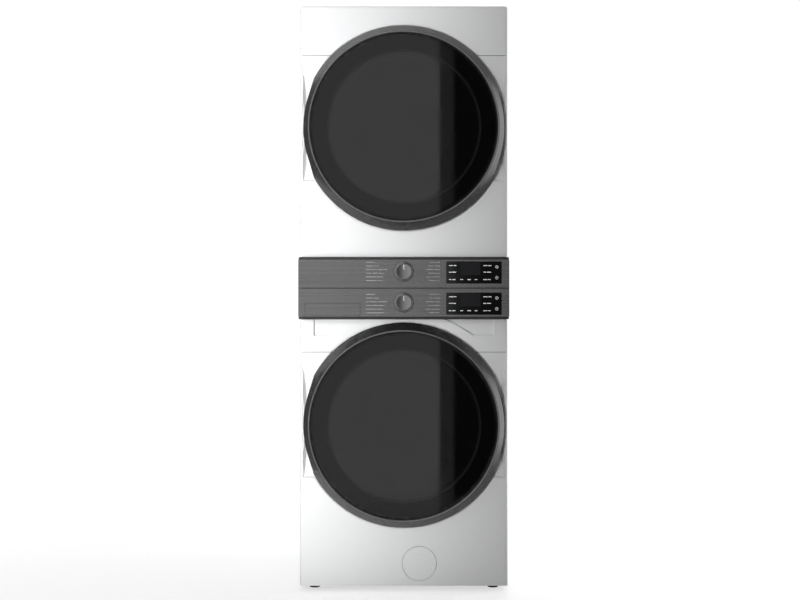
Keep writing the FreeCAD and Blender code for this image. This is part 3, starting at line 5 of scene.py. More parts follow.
import bmesh
import bpy
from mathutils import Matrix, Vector


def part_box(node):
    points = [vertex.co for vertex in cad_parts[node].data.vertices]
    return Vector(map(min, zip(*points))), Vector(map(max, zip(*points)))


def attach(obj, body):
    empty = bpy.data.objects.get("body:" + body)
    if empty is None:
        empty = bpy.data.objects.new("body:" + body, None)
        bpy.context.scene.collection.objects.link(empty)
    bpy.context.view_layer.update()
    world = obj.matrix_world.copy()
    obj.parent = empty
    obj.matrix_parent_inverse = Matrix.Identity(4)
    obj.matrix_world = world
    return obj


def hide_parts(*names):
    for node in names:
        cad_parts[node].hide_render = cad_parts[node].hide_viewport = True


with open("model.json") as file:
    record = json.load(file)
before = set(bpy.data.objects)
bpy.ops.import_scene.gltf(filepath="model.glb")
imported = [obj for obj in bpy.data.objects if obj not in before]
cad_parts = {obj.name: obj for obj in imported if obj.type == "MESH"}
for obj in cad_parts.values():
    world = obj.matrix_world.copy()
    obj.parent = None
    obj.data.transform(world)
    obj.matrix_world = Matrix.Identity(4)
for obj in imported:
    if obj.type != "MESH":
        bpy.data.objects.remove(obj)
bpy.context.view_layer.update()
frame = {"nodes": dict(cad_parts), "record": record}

MM = 0.001
FINE_ANGLE = math.radians(32)
PEEL_DEPTH, BRUSHED_DEPTH, PAINT_DEPTH, TURNED_DEPTH = 0.02 * MM, 0.03 * MM, 0.03 * MM, 0.02 * MM


def low(node):
    return Vector(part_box(node)[0])


def high(node):
    return Vector(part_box(node)[1])


def middle(node):
    return (low(node) + high(node)) / 2


# ---------------------------------------------------------------- nodes
class Wire:
    """An output socket of a node.  Arithmetic on wires adds math nodes, and node() adds any other."""

    def __init__(self, tree, socket=None):
        self.tree, self.socket = tree, socket

    def node(self, kind, inputs=None, out=0, **settings):
        made = self.tree.nodes.new(kind)
        for key, value in settings.items():
            setattr(made, key, value)
        for key, value in (inputs or {}).items():
            if isinstance(value, Wire):
                self.tree.links.new(value.socket, made.inputs[key])
            else:
                made.inputs[key].default_value = value
        return Wire(self.tree, made.outputs[out] if len(made.outputs) else None)

    def sums(self, operation, *values):
        """A math node of the given values, which name this wire too where it takes part."""
        return self.node("ShaderNodeMath", dict(enumerate(values)), operation=operation)

    def __add__(self, other):
        return self.sums("ADD", self, other)

    def __radd__(self, other):
        return self.sums("ADD", other, self)

    def __sub__(self, other):
        return self.sums("SUBTRACT", self, other)

    def __rsub__(self, other):
        return self.sums("SUBTRACT", other, self)

    def __mul__(self, other):
        return self.sums("MULTIPLY", self, other)

    def __rmul__(self, other):
        return self.sums("MULTIPLY", other, self)

    def __truediv__(self, other):
        return self.sums("DIVIDE", self, other)

    def __rtruediv__(self, other):
        return self.sums("DIVIDE", other, self)

    def root(self):
        return self.node("ShaderNodeMath", {0: self}, operation="SQRT")

    def tone(self, dark, light):
        """A colour between two, this wire saying how far along."""
        return self.node("ShaderNodeMix", {0: self, 6: (*dark, 1), 7: (*light, 1)}, out=2, data_type="RGBA")

    def spread(self, start, end, low_value, high_value):
        """This wire's range from start to end, stretched to another range and held there."""
        return self.node("ShaderNodeMapRange", {0: self, 1: start, 2: end, 3: low_value, 4: high_value})


def blank(name):
    """A new material's place wire, in the object's own coordinates."""
    material = bpy.data.materials.new(name)
    material.use_nodes = True
    material.node_tree.nodes.clear()
    return material, Wire(material.node_tree).node("ShaderNodeTexCoord", out="Object")


def grain(place, scale, stretch=(1.0, 1.0, 1.0), detail=3.0, roughness=0.5):
    mapped = place.node("ShaderNodeMapping", {"Vector": place, "Scale": stretch})
    return place.node("ShaderNodeTexNoise", {"Vector": mapped, "Scale": scale, "Detail": detail,
                                             "Roughness": roughness})


def cells(place, scale, out="Distance"):
    return place.node("ShaderNodeTexVoronoi", {"Vector": place, "Scale": scale}, out=out)


def axes(place):
    """Wires for x, y and z of a place."""
    split = place.node("ShaderNodeSeparateXYZ", {0: place}).socket.node
    return [Wire(place.tree, split.outputs[number]) for number in range(3)]


def surface(place, base, roughness, height=None, depth=0.0, **constants):
    """A principled surface, joined to the material's output."""
    inputs = {"Base Color": base if isinstance(base, Wire) else (*base, 1), "Roughness": roughness}
    inputs.update({key.replace("_", " "): value for key, value in constants.items()})
    if height is not None:
        inputs["Normal"] = place.node("ShaderNodeBump", {"Height": height, "Distance": depth})
    shader = place.node("ShaderNodeBsdfPrincipled", inputs)
    place.node("ShaderNodeOutputMaterial", {"Surface": shader})


def enamel(name, colour):
    """Baked gloss enamel: an even coat with a faint orange peel and a little unevenness of tone."""
    material, place = blank(name)
    cloud = grain(place, 3.0, detail=2.0)
    peel = grain(place, 420.0, detail=2.0) + 0.6 * grain(place, 150.0, detail=1.0)
    base = cloud.spread(0.1, 0.9, 0.0, 1.0).tone([c * 0.99 for c in colour], colour)
    rough = grain(place, 6.0, detail=2.0).spread(0.1, 0.9, 0.278, 0.288)
    surface(place, base, rough, peel, PEEL_DEPTH, Coat_Weight=0.5, Coat_Roughness=0.1)
    return material


def brushed(name, dark, light, along, metallic, rough_low, rough_high, lines=900.0):
    """Brushed metal, whose hairlines run along one axis."""
    material, place = blank(name)
    stretch = [lines / 160.0 if letter in along else lines for letter in "xyz"]
    hair = grain(place, 1.0, stretch, detail=2.0, roughness=0.7)
    broad = grain(place, 1.0, [part / 7.0 for part in stretch], detail=2.0)
    smear = grain(place, 7.0, detail=3.0)
    mixed = 0.6 * hair + 0.4 * broad
    base = mixed.spread(0.32, 0.68, 0.0, 1.0).tone(dark, light)
    rough = (0.7 * mixed + 0.3 * smear).spread(0.32, 0.68, rough_low, rough_high)
    surface(place, base, rough, hair, BRUSHED_DEPTH, Metallic=metallic)
    return material


def turned(name, dark, light, x, z, metallic=1.0):
    """Metal with the round hairlines of a lathe about an axis along y."""
    material, place = blank(name)
    px, py, pz = axes(place)
    radius = ((px - x) * (px - x) + (pz - z) * (pz - z)).root()
    ring = place.node("ShaderNodeTexNoise", {"W": radius + 0.02 * py, "Scale": 2600.0, "Detail": 2.0},
                      noise_dimensions="1D")
    speck = grain(place, 900.0, detail=1.0)
    mixed = 0.75 * ring + 0.25 * speck
    base = mixed.spread(0.3, 0.7, 0.0, 1.0).tone(dark, light)
    surface(place, base, mixed.spread(0.3, 0.7, 0.24, 0.36), ring, TURNED_DEPTH, Metallic=metallic)
    return material


def metallic_paint(name, dark, light, rough_low, rough_high):
    """Dark satin paint with fine flakes under a thin clear coat."""
    material, place = blank(name)
    flake = cells(place, 2600.0, "Color")
    flake = flake.node("ShaderNodeSeparateColor", {0: flake})
    worn = grain(place, 30.0, detail=4.0)
    base = (0.7 * flake + 0.3 * worn).spread(0.2, 0.8, 0.0, 1.0).tone(dark, light)
    surface(place, base, worn.spread(0.3, 0.7, rough_low, rough_high), grain(place, 1500.0, detail=1.0),
            PAINT_DEPTH, Metallic=0.55, Coat_Weight=0.2, Coat_Roughness=0.15)
    return material


def moulded(name, dark, light, rough_low, rough_high, grit=700.0, depth=0.00008, coat=0.0, shine=0.5):
    """Moulded plastic or rubber: spark-eroded grain with rubbed patches."""
    material, place = blank(name)
    fine = cells(place, grit)
    rubbed = grain(place, 12.0, detail=4.0)
    base = rubbed.spread(0.3, 0.7, 0.0, 1.0).tone(dark, light)
    rough = (0.6 * rubbed + 0.4 * grain(place, grit / 3)).spread(0.3, 0.7, rough_low, rough_high)
    surface(place, base, rough, fine, depth, Coat_Weight=coat, Coat_Roughness=0.1, Specular_IOR_Level=shine)
    return material


def galvanised(name):
    """Zinc-coated steel with its faint frost-like spangle."""
    material, place = blank(name)
    patch = cells(place, 85.0, "Color")
    patch = patch.node("ShaderNodeSeparateColor", {0: patch})
    dull = grain(place, 20.0, detail=4.0)
    base = (0.7 * patch + 0.3 * dull).spread(0.1, 0.9, 0.0, 1.0).tone((0.42, 0.43, 0.44), (0.6, 0.61, 0.62))
    rough = (0.5 * patch + 0.5 * dull).spread(0.2, 0.8, 0.3, 0.46)
    surface(place, base, rough, grain(place, 300.0), 0.04 * MM, Metallic=0.9)
    return material


def rough_cast(name, dark, light, metallic, rough_low, rough_high, grit, depth):
    """A cast or poured surface with pores."""
    material, place = blank(name)
    pores = cells(place, grit)
    lumps = grain(place, grit / 4, detail=5.0)
    base = (0.5 * lumps + 0.5 * pores).spread(0.2, 0.8, 0.0, 1.0).tone(dark, light)
    rough = lumps.spread(0.3, 0.7, rough_low, rough_high)
    surface(place, base, rough, pores + lumps, depth, Metallic=metallic)
    return material


def pane(name, tint, mirror, share):
    """Thin glass: light passes through a tint, and a fixed share of it is mirrored at the surface."""
    material, place = blank(name)
    smudge = grain(place, 9.0, detail=4.0).spread(0.45, 0.75, 0.0, 1.0)
    clear = place.node("ShaderNodeBsdfTransparent", {"Color": (*tint, 1)})
    gloss = place.node("ShaderNodeBsdfPrincipled", {"Base Color": (*mirror, 1), "Metallic": 1.0,
                                                    "Roughness": smudge.spread(0.0, 1.0, 0.012, 0.05)})
    both = place.node("ShaderNodeMixShader", {0: share, 1: clear, 2: gloss})
    place.node("ShaderNodeOutputMaterial", {"Surface": both})
    return material


def ink(name, colour, roughness, glow=0.0):
    """Printed or lit marking, with the slight mottle of a printed film."""
    material, place = blank(name)
    base = grain(place, 800.0).spread(0.3, 0.7, 0.0, 1.0).tone([c * 0.86 for c in colour], colour)
    surface(place, base, roughness, Emission_Color=(*colour, 1), Emission_Strength=glow)
    return material


FINISHES = {
    "white_enamel": enamel("white_enamel", (0.86, 0.865, 0.87)),
    "charcoal_metal": brushed("charcoal_metal", (0.36, 0.36, 0.365), (0.56, 0.56, 0.565), "x", 1.0, 0.2,
                              0.3),
    "door_rim": metallic_paint("door_rim", (0.042, 0.041, 0.04), (0.078, 0.076, 0.074), 0.22, 0.3),
    "tinted_glass": pane("tinted_glass", (0.72, 0.72, 0.72), (0.95, 0.95, 0.95), 0.046),
    "clear_glass": pane("clear_glass", (0.86, 0.88, 0.88), (0.95, 0.95, 0.95), 0.05),
    "black_glass": moulded("black_glass", (0.004, 0.004, 0.0045), (0.006, 0.006, 0.0065), 0.03, 0.07, 60.0,
                           0.00001, 0.6),
    "satin_metal": brushed("satin_metal", (0.42, 0.42, 0.42), (0.6, 0.6, 0.6), "x", 1.0, 0.24, 0.36),
    "black_plastic": moulded("black_plastic", (0.012, 0.012, 0.012), (0.022, 0.022, 0.022), 0.36, 0.52),
    "grey_plastic": moulded("grey_plastic", (0.22, 0.225, 0.23), (0.27, 0.275, 0.28), 0.4, 0.55),
    "white_plastic": moulded("white_plastic", (0.72, 0.73, 0.73), (0.78, 0.79, 0.79), 0.34, 0.46),
    "grey_rubber": moulded("grey_rubber", (0.16, 0.165, 0.17), (0.2, 0.205, 0.21), 0.55, 0.72, 1100.0),
    "black_rubber": moulded("black_rubber", (0.01, 0.01, 0.01), (0.018, 0.018, 0.018), 0.55, 0.75, 1100.0),
    "stainless": brushed("stainless", (0.5, 0.5, 0.5), (0.68, 0.68, 0.67), "y", 1.0, 0.2, 0.32, 1200.0),
    "zinc_steel": galvanised("zinc_steel"),
    "cast_metal": rough_cast("cast_metal", (0.3, 0.3, 0.31), (0.46, 0.46, 0.47), 0.85, 0.42, 0.6, 500.0,
                             0.2 * MM),
    "concrete": rough_cast("concrete", (0.3, 0.295, 0.28), (0.46, 0.45, 0.43), 0.0, 0.75, 0.92, 160.0,
                           0.6 * MM),
}
for entry in frame["record"]["subparts"]:
    shown = frame["nodes"][entry["node"]]
    shown.data.materials.clear()
    shown.data.materials.append(FINISHES[entry["material_slot"]])


# ---------------------------------------------------------------- making meshes
def settle(name, mesh, finish, body, replaces=(), fine=FINE_ANGLE):
    """Makes an object of a mesh, gives it its finish and hangs it on a body."""
    mesh.shade_smooth()
    mesh.set_sharp_from_angle(angle=fine)
    piece = bpy.data.objects.new(name, mesh)
    bpy.context.scene.collection.objects.link(piece)
    mesh.materials.clear()
    mesh.materials.append(FINISHES[finish] if isinstance(finish, str) else finish)
    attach(piece, body)
    if replaces:
        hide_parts(*replaces)
    return piece


def lathe_mesh(profile, x, z, segments=144):
    """A closed outline of (radius, y) turned about the line through x and z along y."""
    bm = bmesh.new()
    rings = []
    for radius, y in profile:
        if radius < 1e-6:
            rings.append([bm.verts.new((x, y, z))])
            continue
        turns = [2 * math.pi * step / segments for step in range(segments)]
        rings.append([bm.verts.new((x + radius * math.cos(t), y, z + radius * math.sin(t))) for t in turns])
    for first, second in zip(rings, rings[1:] + rings[:1]):
        for step in range(segments):
            after = (step + 1) % segments
            if len(first) == 1 and len(second) == 1:
                break
            if len(first) == 1:
                bm.faces.new((first[0], second[step], second[after]))
            elif len(second) == 1:
                bm.faces.new((first[step], second[0], first[after]))
            else:
                bm.faces.new((first[step], second[step], second[after], first[after]))
    bmesh.ops.recalc_face_normals(bm, faces=bm.faces)
    mesh = bpy.data.meshes.new("turned")
    bm.to_mesh(mesh)
    bm.free()
    return mesh


def lathe(name, profile, x, z, finish, body, replaces=(), segments=144):
    return settle(name, lathe_mesh(profile, x, z, segments), finish, body, replaces)


def rounded_outline(x0, x1, z0, z1, radius, steps=6):
    """The corners of a rectangle in x and z whose corners are rounded."""
    spots = []
    for cx, cz, start in ((x1 - radius, z1 - radius, 0), (x0 + radius, z1 - radius, 1),
                          (x0 + radius, z0 + radius, 2), (x1 - radius, z0 + radius, 3)):
        for step in range(steps + 1):
            angle = math.pi / 2 * (start + step / steps)
            spots.append((cx + radius * math.cos(angle), cz + radius * math.sin(angle)))
    return spots


def plate_mesh(outline, front, back, bevel=0.0, steps=2):
    """An outline in x and z, given a thickness along y, with softened edges."""
    bm = bmesh.new()
    face = bm.faces.new([bm.verts.new((x, front, z)) for x, z in outline])
    grown = bmesh.ops.extrude_face_region(bm, geom=[face])
    for vert in (item for item in grown["geom"] if isinstance(item, bmesh.types.BMVert)):
        vert.co.y = back
    bmesh.ops.recalc_face_normals(bm, faces=bm.faces)
    if bevel:
        rim = [edge for edge in bm.edges if all(abs(vert.co.y - front) < 1e-7 for vert in edge.verts)]
        bmesh.ops.bevel(bm, geom=rim, offset=bevel, segments=steps, profile=0.5, affect="EDGES")
    mesh = bpy.data.meshes.new("plate")
    bm.to_mesh(mesh)
    bm.free()
    return mesh


def joined_mesh(meshes):
    """Several meshes as one."""
    bm = bmesh.new()
    for mesh in meshes:
        bm.from_mesh(mesh)
        bpy.data.meshes.remove(mesh)
    mesh = bpy.data.meshes.new("joined")
    bm.to_mesh(mesh)
    bm.free()
    return mesh


def tube_mesh(points, radius, steps=10, closed=False):
    """A round bar along a line of points."""
    curve = bpy.data.curves.new("line", "CURVE")
    curve.dimensions = "3D"
    curve.bevel_depth = radius
    curve.bevel_resolution = max(1, steps // 2 - 1)
    curve.use_fill_caps = not closed
    line = curve.splines.new("POLY")
    line.points.add(len(points) - 1)
    for spot, place in zip(line.points, points):
        spot.co = (*place, 1)
    line.use_cyclic_u = closed
    holder = bpy.data.objects.new("line", curve)
    mesh = bpy.data.meshes.new_from_object(holder)
    bpy.data.objects.remove(holder)
    bpy.data.curves.remove(curve)
    return mesh


# ---------------------------------------------------------------- copies made by geometry nodes
def socket(group, name, kind, direction="INPUT"):
    return group.interface.new_socket(name, in_out=direction, socket_type=f"NodeSocket{kind}").identifier


def closing(group, start, placed, finish):
    """Realised copies with their material, passed out of the group."""
    real = start.node("GeometryNodeRealizeInstances", {0: placed})
    dressed = start.node("GeometryNodeSetMaterial", {0: real, "Material": finish})
    start.node("NodeGroupOutput", {0: dressed})
    return group


def spots_group():
    """Puts a stamp on every point, turned and stretched by the point's own values."""
    group = bpy.data.node_groups.new("stamp_on_spots", "GeometryNodeTree")
    keys = {name: socket(group, name, kind) for name, kind in
            (("Spots", "Geometry"), ("Stamp", "Object"), ("Size", "Float"), ("Finish", "Material"))}
    socket(group, "Copies", "Geometry", "OUTPUT")
    start = Wire(group)
    given = start.node("NodeGroupInput").socket.node
    wires = {name: Wire(group, given.outputs[name]) for name in keys}
    stamp = start.node("GeometryNodeObjectInfo", {"Object": wires["Stamp"]}, out="Geometry")
    turn = start.node("GeometryNodeInputNamedAttribute", {"Name": "turn"}, data_type="FLOAT_VECTOR")
    stretch = start.node("GeometryNodeInputNamedAttribute", {"Name": "stretch"}, data_type="FLOAT_VECTOR")
    sized = start.node("ShaderNodeVectorMath", {0: stretch, "Scale": wires["Size"]}, operation="SCALE")
    placed = start.node("GeometryNodeInstanceOnPoints", {"Points": wires["Spots"], "Instance": stamp,
                                                         "Rotation": turn, "Scale": sized})
    return closing(group, start, placed, wires["Finish"]), keys


def drum_group():
    """Puts a stamp at every place of a pattern that runs round an axis along y, in staggered rows."""
    group = bpy.data.node_groups.new("stamp_round_drum", "GeometryNodeTree")
    keys = {name: socket(group, name, kind) for name, kind in
            (("Stamp", "Object"), ("Around", "Int"), ("Rows", "Int"), ("Radius", "Float"), ("Pitch", "Float"),
             ("Narrowing", "Float"), ("Stagger", "Float"), ("Finish", "Material"))}
    socket(group, "Copies", "Geometry", "OUTPUT")
    start = Wire(group)
    given = start.node("NodeGroupInput").socket.node
    wires = {name: Wire(group, given.outputs[name]) for name in keys}
    number = start.node("GeometryNodeInputIndex")
    row = (number / wires["Around"]).sums("FLOOR", number / wires["Around"])
    place = number - row * wires["Around"] + row * wires["Stagger"]
    angle = 2 * math.pi * place / wires["Around"]
    reach = wires["Radius"] - row * wires["Narrowing"]
    spot = start.node("ShaderNodeCombineXYZ", {0: reach * angle.sums("COSINE", angle), 1: row * wires["Pitch"],
                                               2: reach * angle.sums("SINE", angle)})
    turn = start.node("ShaderNodeCombineXYZ", {1: math.pi / 2 - angle})
    dots = start.node("GeometryNodePoints", {"Count": wires["Around"] * wires["Rows"], "Position": spot})
    stamp = start.node("GeometryNodeObjectInfo", {"Object": wires["Stamp"]}, out="Geometry")
    placed = start.node("GeometryNodeInstanceOnPoints", {"Points": dots, "Instance": stamp, "Rotation": turn})
    return closing(group, start, placed, wires["Finish"]), keys


SPOTS, DRUM = spots_group(), drum_group()


def grown_mesh(holder_mesh, kind, stamp_mesh, values, shift=(0, 0, 0)):
    """The mesh that a copying group makes."""
    group, keys = kind
    stamp = bpy.data.objects.new("stamp", stamp_mesh)
    holder = bpy.data.objects.new("holder", holder_mesh)
    for item in (stamp, holder):
        bpy.context.scene.collection.objects.link(item)
    maker = holder.modifiers.new("copies", "NODES")
    maker.node_group = group
    for name, value in {"Stamp": stamp, **values}.items():
        maker[keys[name]] = value
    depsgraph = bpy.context.evaluated_depsgraph_get()
    mesh = bpy.data.meshes.new_from_object(holder.evaluated_get(depsgraph))
    for item in (stamp, holder):
        bpy.data.objects.remove(item)
    for vert in mesh.vertices:
        vert.co += Vector(shift)
    return mesh


def stamped(name, stamp_mesh, spots, finish, body, size=1.0):
    """Copies at given spots, each a place, a turn and a stretch."""
    dots = bpy.data.meshes.new("spots")
    dots.from_pydata([spot[0] for spot in spots], [], [])
    for label, column in (("turn", 1), ("stretch", 2)):
        layer = dots.attributes.new(label, "FLOAT_VECTOR", "POINT")
        for item, spot in zip(layer.data, spots):
            item.vector = spot[column]
    material = FINISHES[finish] if isinstance(finish, str) else finish
    mesh = grown_mesh(dots, SPOTS, stamp_mesh, {"Size": size, "Finish": material})
    return settle(name, mesh, finish, body)


def drum_pattern(name, stamp_mesh, axis, start, around, rows, radius, pitch, finish, body, narrowing=0.0,
                 stagger=0.5):
    material = FINISHES[finish] if isinstance(finish, str) else finish
    values = {"Around": around, "Rows": rows, "Radius": radius, "Pitch": pitch, "Narrowing": narrowing,
              "Stagger": stagger, "Finish": material}
    mesh = grown_mesh(bpy.data.meshes.new("empty"), DRUM, stamp_mesh, values, (0, start, axis))
    return settle(name, mesh, finish, body)


def disc_mesh(radius, thickness, sides=14, dish=0.0):
    """A small round stamp that lies across z, with a raised or sunken middle."""
    bm = bmesh.new()
    turns = [2 * math.pi * step / sides for step in range(sides)]
    lower = [bm.verts.new((radius * math.cos(t), radius * math.sin(t), 0)) for t in turns]
    top = radius * 0.88
    upper = [bm.verts.new((top * math.cos(t), top * math.sin(t), thickness)) for t in turns]
    crown = bm.verts.new((0, 0, thickness + dish))
    for step in range(sides):
        after = (step + 1) % sides
        bm.faces.new((lower[step], lower[after], upper[after], upper[step]))
        bm.faces.new((upper[step], upper[after], crown))
    bm.faces.new(lower[::-1])
    mesh = bpy.data.meshes.new("disc")
    bm.to_mesh(mesh)
    bm.free()
    return mesh


def bar_mesh(width, height, depth, bevel):
    """A small bar from y 0 to -depth whose front edges are softened."""
    outline = rounded_outline(-width / 2, width / 2, -height / 2, height / 2, bevel, 3)
    return plate_mesh(outline, -depth, 0.0, min(depth, bevel) * 0.4, 1)


# ---------------------------------------------------------------- places on the object
AXES = {"washer": middle("washer_door_glass").z, "dryer": middle("dryer_door_glass").z}
PANE_RADIUS = (high("washer_door_glass").x - low("washer_door_glass").x) / 2
PANE_BACK = high("washer_door_glass").y
PANE_CROWN = low("washer_door_glass").y
DOOR_FACE = low("washer_door_ring").y
CONSOLE_FACE = low("console").y
CONSOLE_MIDDLE = middle("console").z
HALF = high("washer_front_panel").x
PANEL_FACE = low("washer_front_panel").y
WINDOW_RADIUS = 251.5 * MM
INNER_PANE = 15 * MM


def both_doors(make):
    for machine, axis in AXES.items():
        make(machine, axis, f"{machine}_door")


# ---------------------------------------------------------------- doors
def outer_pane(machine, axis, body):
    """The crowned outer glass, its blackened border and the bright lines round it."""
    edge, crown_depth = PANE_BACK - 4 * MM, PANE_BACK - 4 * MM - PANE_CROWN
    rings = 28
    front = [(PANE_RADIUS * step / rings, PANE_CROWN + crown_depth * (step / rings) ** 2)
             for step in range(rings)]
    profile = front + [(PANE_RADIUS - 0.6 * MM, edge), (PANE_RADIUS, edge + 0.6 * MM), (PANE_RADIUS, PANE_BACK),
                       (0, PANE_BACK)]
    lathe(f"{machine}_outer_pane", profile, 0, axis, "tinted_glass", body,
          (f"{machine}_door_glass",), 192)
    border = PANE_BACK + 0.25 * MM
    lathe(f"{machine}_pane_border", [(WINDOW_RADIUS + 2 * MM, border), (PANE_RADIUS - 1 * MM, border),
                                     (PANE_RADIUS - 1 * MM, border + 0.6 * MM),
                                     (WINDOW_RADIUS + 2 * MM, border + 0.6 * MM)],
          0, axis, BORDER, body, (), 192)
    seat = DOOR_FACE + 2.5 * MM
    lathe(f"{machine}_pane_seal", [(PANE_RADIUS + 0.05 * MM, seat + 1 * MM),
                                   (PANE_RADIUS + 0.3 * MM, seat - 0.8 * MM),
                                   (PANE_RADIUS + 1.2 * MM, seat - 1.2 * MM),
                                   (PANE_RADIUS + 2.4 * MM, seat - 0.6 * MM),
                                   (PANE_RADIUS + 2.6 * MM, seat + 1 * MM)],
          0, axis, "black_rubber", body)
    bevel = DOOR_FACE + 0.2 * MM
    lathe(f"{machine}_bevel_ring", [(308.3 * MM, bevel + 1.2 * MM), (308.8 * MM, bevel + 0.2 * MM),
                                    (309.6 * MM, bevel - 0.22 * MM), (310.6 * MM, bevel - 0.32 * MM),
                                    (311.8 * MM, bevel - 0.22 * MM), (312.6 * MM, bevel + 0.3 * MM),
                                    (311.8 * MM, bevel + 1.4 * MM)],
          0, axis, BEVEL, body, (), 192)


def inner_pane(machine, axis, body):
    """The flat inner window behind the border, with the lip that holds it."""
    spot = PANE_BACK + INNER_PANE - 7 * MM
    crown = (PANE_BACK - 4 * MM - PANE_CROWN) / PANE_RADIUS ** 2
    rings = [(WINDOW_RADIUS * step / 20, spot - 1.4 * MM + crown * (WINDOW_RADIUS * step / 20) ** 2)
             for step in range(20)]
    rings += [(WINDOW_RADIUS - 3 * MM, spot), (WINDOW_RADIUS - 2.4 * MM, spot + 0.5 * MM),
              (WINDOW_RADIUS - 2.4 * MM, spot + 3 * MM), (0, spot + 3 * MM)]
    lathe(f"{machine}_inner_window", rings, 0, axis, INNER, body, (), 160)
    lathe(f"{machine}_window_lip", [(WINDOW_RADIUS - 2.4 * MM, spot - 1 * MM), (WINDOW_RADIUS, spot - 2 * MM),
                                    (WINDOW_RADIUS + 1.5 * MM, spot - 1.6 * MM),
                                    (WINDOW_RADIUS + 1.5 * MM, spot + 2 * MM),
                                    (WINDOW_RADIUS - 2.2 * MM, spot + 2 * MM)],
          0, axis, "black_plastic", body)


def paint_seam_shade():
    """A black band painted into the crease that crosses each front panel beside its door, as the crease's
    shade.
    """
    depth = 0.35 * MM
    for machine, axis in AXES.items():
        z, half = axis + 240 * MM, 0.75 * MM
        bands = [plate_mesh([(side * 100 * MM, z - half), (side * HALF * 0.978, z - half),
                             (side * HALF * 0.978, z + half), (side * 100 * MM, z + half)],
                            PANEL_FACE - 0.05 * MM, PANEL_FACE + depth) for side in (-1, 1)]
        # painted shade: the black band stands in for the shade inside the crease
        settle(f"{machine}_seam_line", joined_mesh(bands), "black_rubber", "stack")


paint_seam_shade()
BORDER = moulded("pane_border", (0.0032, 0.0032, 0.0034), (0.005, 0.005, 0.0052), 0.7, 0.8, shine=0.0)
BEVEL = turned("bevel_ring", (0.34, 0.34, 0.34), (0.48, 0.48, 0.48), 0.0, 0.0, 0.9)
INNER = pane("inner_window", (0.3, 0.3, 0.31), (0.95, 0.95, 0.95), 0.15)
both_doors(outer_pane)
both_doors(inner_pane)


# ---------------------------------------------------------------- console
PRINT = ink("pale_print", (0.36, 0.36, 0.36), 0.5)
LIT = ink("lit_marks", (0.75, 0.77, 0.78), 0.5, 0.25)
SCREEN = ink("display_screen", (0.012, 0.0125, 0.014), 0.18)
POINTER = ink("pointer_line", (0.8, 0.8, 0.8), 0.4)


DIAL_RIBS = 72


def dial(machine):
    """A turned dial with a bright rim, a slightly dished face and a pointer line."""
    node = f"{machine}_knob"
    lo, hi = low(node), high(node)
    radius, z = (hi.x - lo.x) / 2, (hi.z + lo.z) / 2
    face, base, stem = lo.y, CONSOLE_FACE, hi.y
    cap = 25.6 * MM
    profile = [(0, face + 0.5 * MM), (cap - 3.2 * MM, face + 0.5 * MM), (cap - 2.6 * MM, face + 0.35 * MM),
               (cap - 2.0 * MM, face + 0.05 * MM), (cap - 1.0 * MM, face + 0.02 * MM),
               (cap - 0.2 * MM, face + 0.35 * MM), (cap + 0.5 * MM, face + 1.3 * MM),
               (radius - 3.4 * MM, base - 5.2 * MM), (radius - 2.4 * MM, base - 4.0 * MM),
               (radius - 0.8 * MM, base - 3.4 * MM), (radius - 0.15 * MM, base - 2.8 * MM),
               (radius, base - 2.0 * MM), (radius, base - 1.2 * MM), (8 * MM, base - 1.0 * MM),
               (8 * MM, stem), (0, stem)]
    metal = turned(f"{machine}_dial_metal", (0.44, 0.44, 0.44), (0.66, 0.66, 0.66), 0.0, z)
    lathe(f"{machine}_dial", profile, 0, z, metal, f"{machine}_dial", (node,), 160)
    ridge, turns = radius - 5.1 * MM, [2 * math.pi * step / DIAL_RIBS for step in range(DIAL_RIBS)]
    grip = [(ridge * math.cos(turn), ridge * math.sin(turn), turn) for turn in turns]
    rib = bar_mesh(0.9 * MM, 0.9 * MM, 7.5 * MM, 0.3 * MM)
    stamped(f"{machine}_dial_ribs", rib, [((x, base - 5.4 * MM, z + up), (0, -turn, 0), (1, 1, 1))
                                          for x, up, turn in grip], "satin_metal", f"{machine}_dial")
    line = plate_mesh(rounded_outline(-1.1 * MM, 1.1 * MM, z + 5 * MM, z + cap - 3.4 * MM, 1.0 * MM),
                      face + 0.2 * MM, face + 0.6 * MM, 0.1 * MM, 1)
    settle(f"{machine}_dial_pointer", line, POINTER, f"{machine}_dial")
    rim = radius + 1.6 * MM
    lathe(f"{machine}_dial_shadow_gap", [(radius - 2 * MM, base - 0.9 * MM), (rim, base - 0.15 * MM),
                                         (rim, base + 0.2 * MM), (radius - 2 * MM, base + 0.2 * MM)],
          0, z, "black_plastic", "stack")


def printed(name, rows, finish, height=2.5 * MM, proud=0.12 * MM, face=CONSOLE_FACE):
    """Generic short dashes that stand for printed settings: each row is its left end, height and widths."""
    spots = []
    for left, z, widths in rows:
        for width in widths:
            spots.append(((left + width / 2, face, z), (0, 0, 0), (width, height, proud)))
            left += width + 2.2 * MM
    stamp = plate_mesh(rounded_outline(-0.5, 0.5, -0.5, 0.5, 0.12, 2), -1.0, 0.6)
    upright = [(place, turn, (stretch[0], stretch[2], stretch[1])) for place, turn, stretch in spots]
    return stamped(name, stamp, upright, finish, "stack")


LIST_PITCH = 11.95 * MM
LIST_LEFT = [(30,), (24, 17), (38, 29), (20, 16, 20), (34, 20), (40, 17)]
LIST_RIGHT = [(22, 10), (16, 20), (26, 18), (38,), (16, 28), (20, 14)]


def cycle_lists():
    left, right = [], []
    for centre in (CONSOLE_MIDDLE + 54.5 * MM, CONSOLE_MIDDLE - 50.4 * MM):
        for number in range(6):
            z = centre + (2.5 - number) * LIST_PITCH
            left.append((-124 * MM, z, [width * MM for width in LIST_LEFT[number]]))
            widths = [width * MM for width in LIST_RIGHT[number]]
            right.append((118 * MM - sum(widths) - 2.2 * MM * (len(widths) - 1), z, widths))
    printed("cycle_marks_left", left, PRINT)
    printed("cycle_marks_right", right, PRINT)


